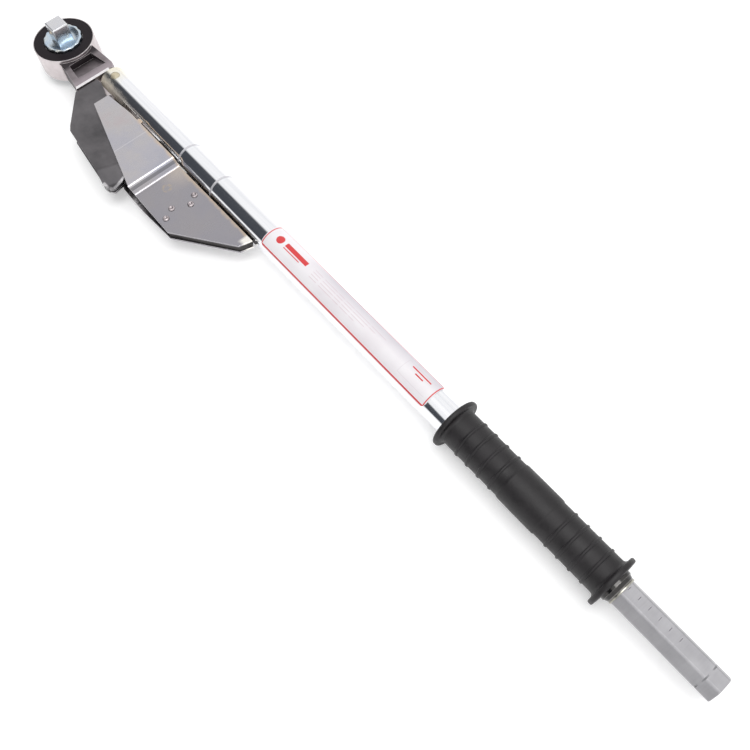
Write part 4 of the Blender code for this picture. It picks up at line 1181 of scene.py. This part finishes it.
def adjuster():
    """Hexagon with turned corners, a groove before its end coloured dark as painted shade, scale cuts, and
    the screw in front.
    """
    flats, corner, chamfer = 0.0240, 0.0133, 0.0006
    start, end = 0.7820, HEX_END_X
    roll = Matrix.Rotation(pi / 2, 4, "Y") @ Matrix.Rotation(radians(54), 4, "Z")
    bm = bmesh.new()
    radii = {"radius1": flats / sqrt(3), "radius2": flats / sqrt(3)}
    bmesh.ops.create_cone(bm, cap_ends=True, segments=6, **radii, depth=end - start, matrix=roll)
    bmesh.ops.translate(bm, verts=bm.verts[:], vec=(start + (end - start) / 2, TUBE_Y, 0))
    bar = from_bmesh("adjuster_hexagon_milled", bm)
    envelope = [
        (0, end + 0.0001), (corner - chamfer, end + 0.0001), (corner, end - chamfer),
        (corner, start + chamfer), (corner - chamfer, start - 0.0001), (0, start - 0.0001),
    ]
    combine(bar, turned("corner_turning", envelope, 180), "INTERSECT")
    x, half, deep, out = 0.9160, 0.0008, 0.0123, 0.0200
    groove = [(out, x + half), (out, x - half), (deep, x - half), (deep, x + half)]
    paint(bar, hexagon_satin, groove_shade, mark_ink)
    # the groove's faces take the dark painted shade
    combine(bar, turned("tool_groove", groove, closed=True), material=groove_shade)
    for k in range(7):
        x = 0.8236 + 0.0104 * k
        cut = block("scale_cut", (x - 0.0005, -0.0022, -0.00025), (x + 0.0005, 0.0022, 0.00030))
        cut.data.transform(Matrix.Translation((0, 0.0015, flats / 2)))
        cut.data.transform(Matrix.Rotation(radians(84) - pi / 2, 4, "X"))
        cut.data.transform(Matrix.Translation((0, TUBE_Y, 0)))
        combine(bar, cut, material=mark_ink)
    rod_start, back, thin = span("adjuster_hexagon", 0)[0], start + 0.01, 0.0080
    screw = turned("screw_rod", [(0, back), (thin, back), (thin, rod_start), (0, rod_start)], 48)
    combine(bar, screw, "UNION")
    publish(smooth(bar, 25), "adjuster", "adjuster_hexagon")


# ---------------- inner pieces keep their CAD mesh
INNER_LOOKS = {
    "ratchet_gear": oiled_steel,
    "pawl": oiled_steel,
    "toggle_link": plain_steel,
    "plunger": oiled_steel,
    "plunger_pin": plain_steel,
    "spring_follower": oiled_steel,
    "adjuster_nut": brass,
}


def inner_pieces():
    for node, look in INNER_LOOKS.items():
        obj = frame["nodes"][node]
        paint(obj, look)


def spring_copy(node, name):
    """The mesh of a CAD spring as a piece of its own."""
    source = frame["nodes"][node]
    obj = bpy.data.objects.new(name, source.data.copy())
    bpy.context.scene.collection.objects.link(obj)
    bpy.context.view_layer.update()
    obj.data.transform(source.matrix_world)
    paint(obj, oiled_steel)
    return obj


def flex(obj, node, first, second, axis, ends):
    """Bakes the spring's placement into its mesh and hides the CAD spring."""
    start, end = middle(node), middle(node)
    start[axis], end[axis] = ends
    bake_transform(obj)
    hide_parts(node)


def springs():
    low, high = span("pawl_spring", 0)
    flex(spring_copy("pawl_spring", "pawl_spring_coil"), "pawl_spring", "pawl", "lever", 0, (low, high))
    low, high = span("detent_spring", 1)
    coil = spring_copy("detent_spring", "detent_spring_coil")
    flex(coil, "detent_spring", "detent", "drive", 1, (low, high))
    low, high = span("main_spring", 0)
    cut = (low + high) / 2
    halves = (
        ("main_spring_front", 1, ("plunger", "tube"), (low, cut)),
        ("main_spring_rear", -1, ("tube", "follower"), (cut, high)),
    )
    for name, side, bodies, ends in halves:
        half = spring_copy("main_spring", name)
        bm = bmesh.new()
        bm.from_mesh(half.data)
        geom = bm.verts[:] + bm.edges[:] + bm.faces[:]
        plane = {"plane_co": (cut, 0, 0), "plane_no": (side, 0, 0)}
        bmesh.ops.bisect_plane(bm, geom=geom, clear_outer=True, **plane)
        bmesh.ops.holes_fill(bm, edges=[edge for edge in bm.edges if edge.is_boundary], sides=0)
        bm.to_mesh(half.data)
        bm.free()
        flex(smooth(half, 40), "main_spring", *bodies, 0, ends)


# ---------------- stage, light, camera
def stage():
    bm = bmesh.new()
    bmesh.ops.create_grid(bm, x_segments=1, y_segments=1, size=6)
    floor = from_bmesh("floor", bm, Vector((0.4, 0, cad_box[0][2] - 0.0003)))
    made, tree = new_material("floor_paper")
    speckle = noise(tree, 300, detail=3)
    base = ramp(speckle, [(0.84, 0.84, 0.84), (0.86, 0.86, 0.86)])
    glow = {"Specular IOR Level": 0.1, "Emission Color": (1, 1, 1), "Emission Strength": 0.26}
    floor.data.materials.append(finished(made, base, None, 0.9, metallic=0.0, **glow))


def studio():
    """White dome. A dark wall low on the lever's side, towards the head, draws a band along the tube."""
    world = bpy.data.worlds.new("studio")
    bpy.context.scene.world = world
    world.use_nodes = True
    tree = world.node_tree
    direction = add(tree, "ShaderNodeTexCoord").outputs["Generated"]
    split = add(tree, "ShaderNodeSeparateXYZ", {"Vector": direction})
    x, y, z = (split.outputs[axis] for axis in "XYZ")
    roof = remap(x, -0.50, -0.20, 0.90, 0.60)
    wall = remap(z, 0.11, 0.17)
    wall = times(wall, remap(math("SUBTRACT", z, roof), -0.03, 0.03, 1.0, 0.0))
    wall = times(wall, remap(y, 0.05, -0.14))
    wall = times(wall, remap(x, 0.05, 0.25, 1.0, 0.0))
    sky = mix(wall, (1.0, 1.0, 1.0), (0.062, 0.067, 0.078))
    background = tree.nodes["Background"]
    tree.links.new(sky, background.inputs["Color"])
    background.inputs["Strength"].default_value = 1.05


def lamp():
    """A broad lamp overhead, beyond the middle of the wrench."""
    data = bpy.data.lights.new("overhead", "AREA")
    data.shape = "RECTANGLE"
    data.size, data.size_y = 1.6, 0.9
    data.energy = 17
    obj = bpy.data.objects.new("overhead", data)
    obj.location = (0.75, -0.05, 2.0)
    aim = Vector((0.3, 0.0, 0)) - obj.location
    obj.rotation_euler = aim.to_track_quat("-Z", "Y").to_euler()
    bpy.context.scene.collection.objects.link(obj)


def camera():
    """Looks down at the wrench from beyond the grip, as the photograph does."""
    data = bpy.data.cameras.new("camera")
    data.sensor_width = 36
    data.lens = 39.36
    obj = bpy.data.objects.new("camera", data)
    right = Vector((0.65329, 0.75599, -0.04124))
    up = Vector((-0.67111, 0.60343, 0.43068))
    back = Vector((0.35047, -0.25368, 0.90156))
    turn = Matrix((right, up, back)).transposed().to_4x4()
    obj.matrix_world = Matrix.Translation((0.8165, -0.1993, 0.6405)) @ turn
    bpy.context.scene.collection.objects.link(obj)
    bpy.context.scene.camera = obj


# ---------------- the whole wrench
ratchet_head()
cover_ring("cover_ring_front", 1)
cover_ring("cover_ring_back", -1)
square_drive()
drive_back()
detent_ball()
lever_plate("lever_plate_upper", 1)
lever_plate("lever_plate_lower", -1)
link_pin()
main_tube()
fulcrum_pin()
label_film()
guard_upper()
guard_lower()
guard_bracket()
rivets()
rubber_grip()
end_ring()
adjuster()
inner_pieces()
springs()
stage()
studio()
lamp()
camera()
bpy.context.scene.view_settings.view_transform = "Standard"
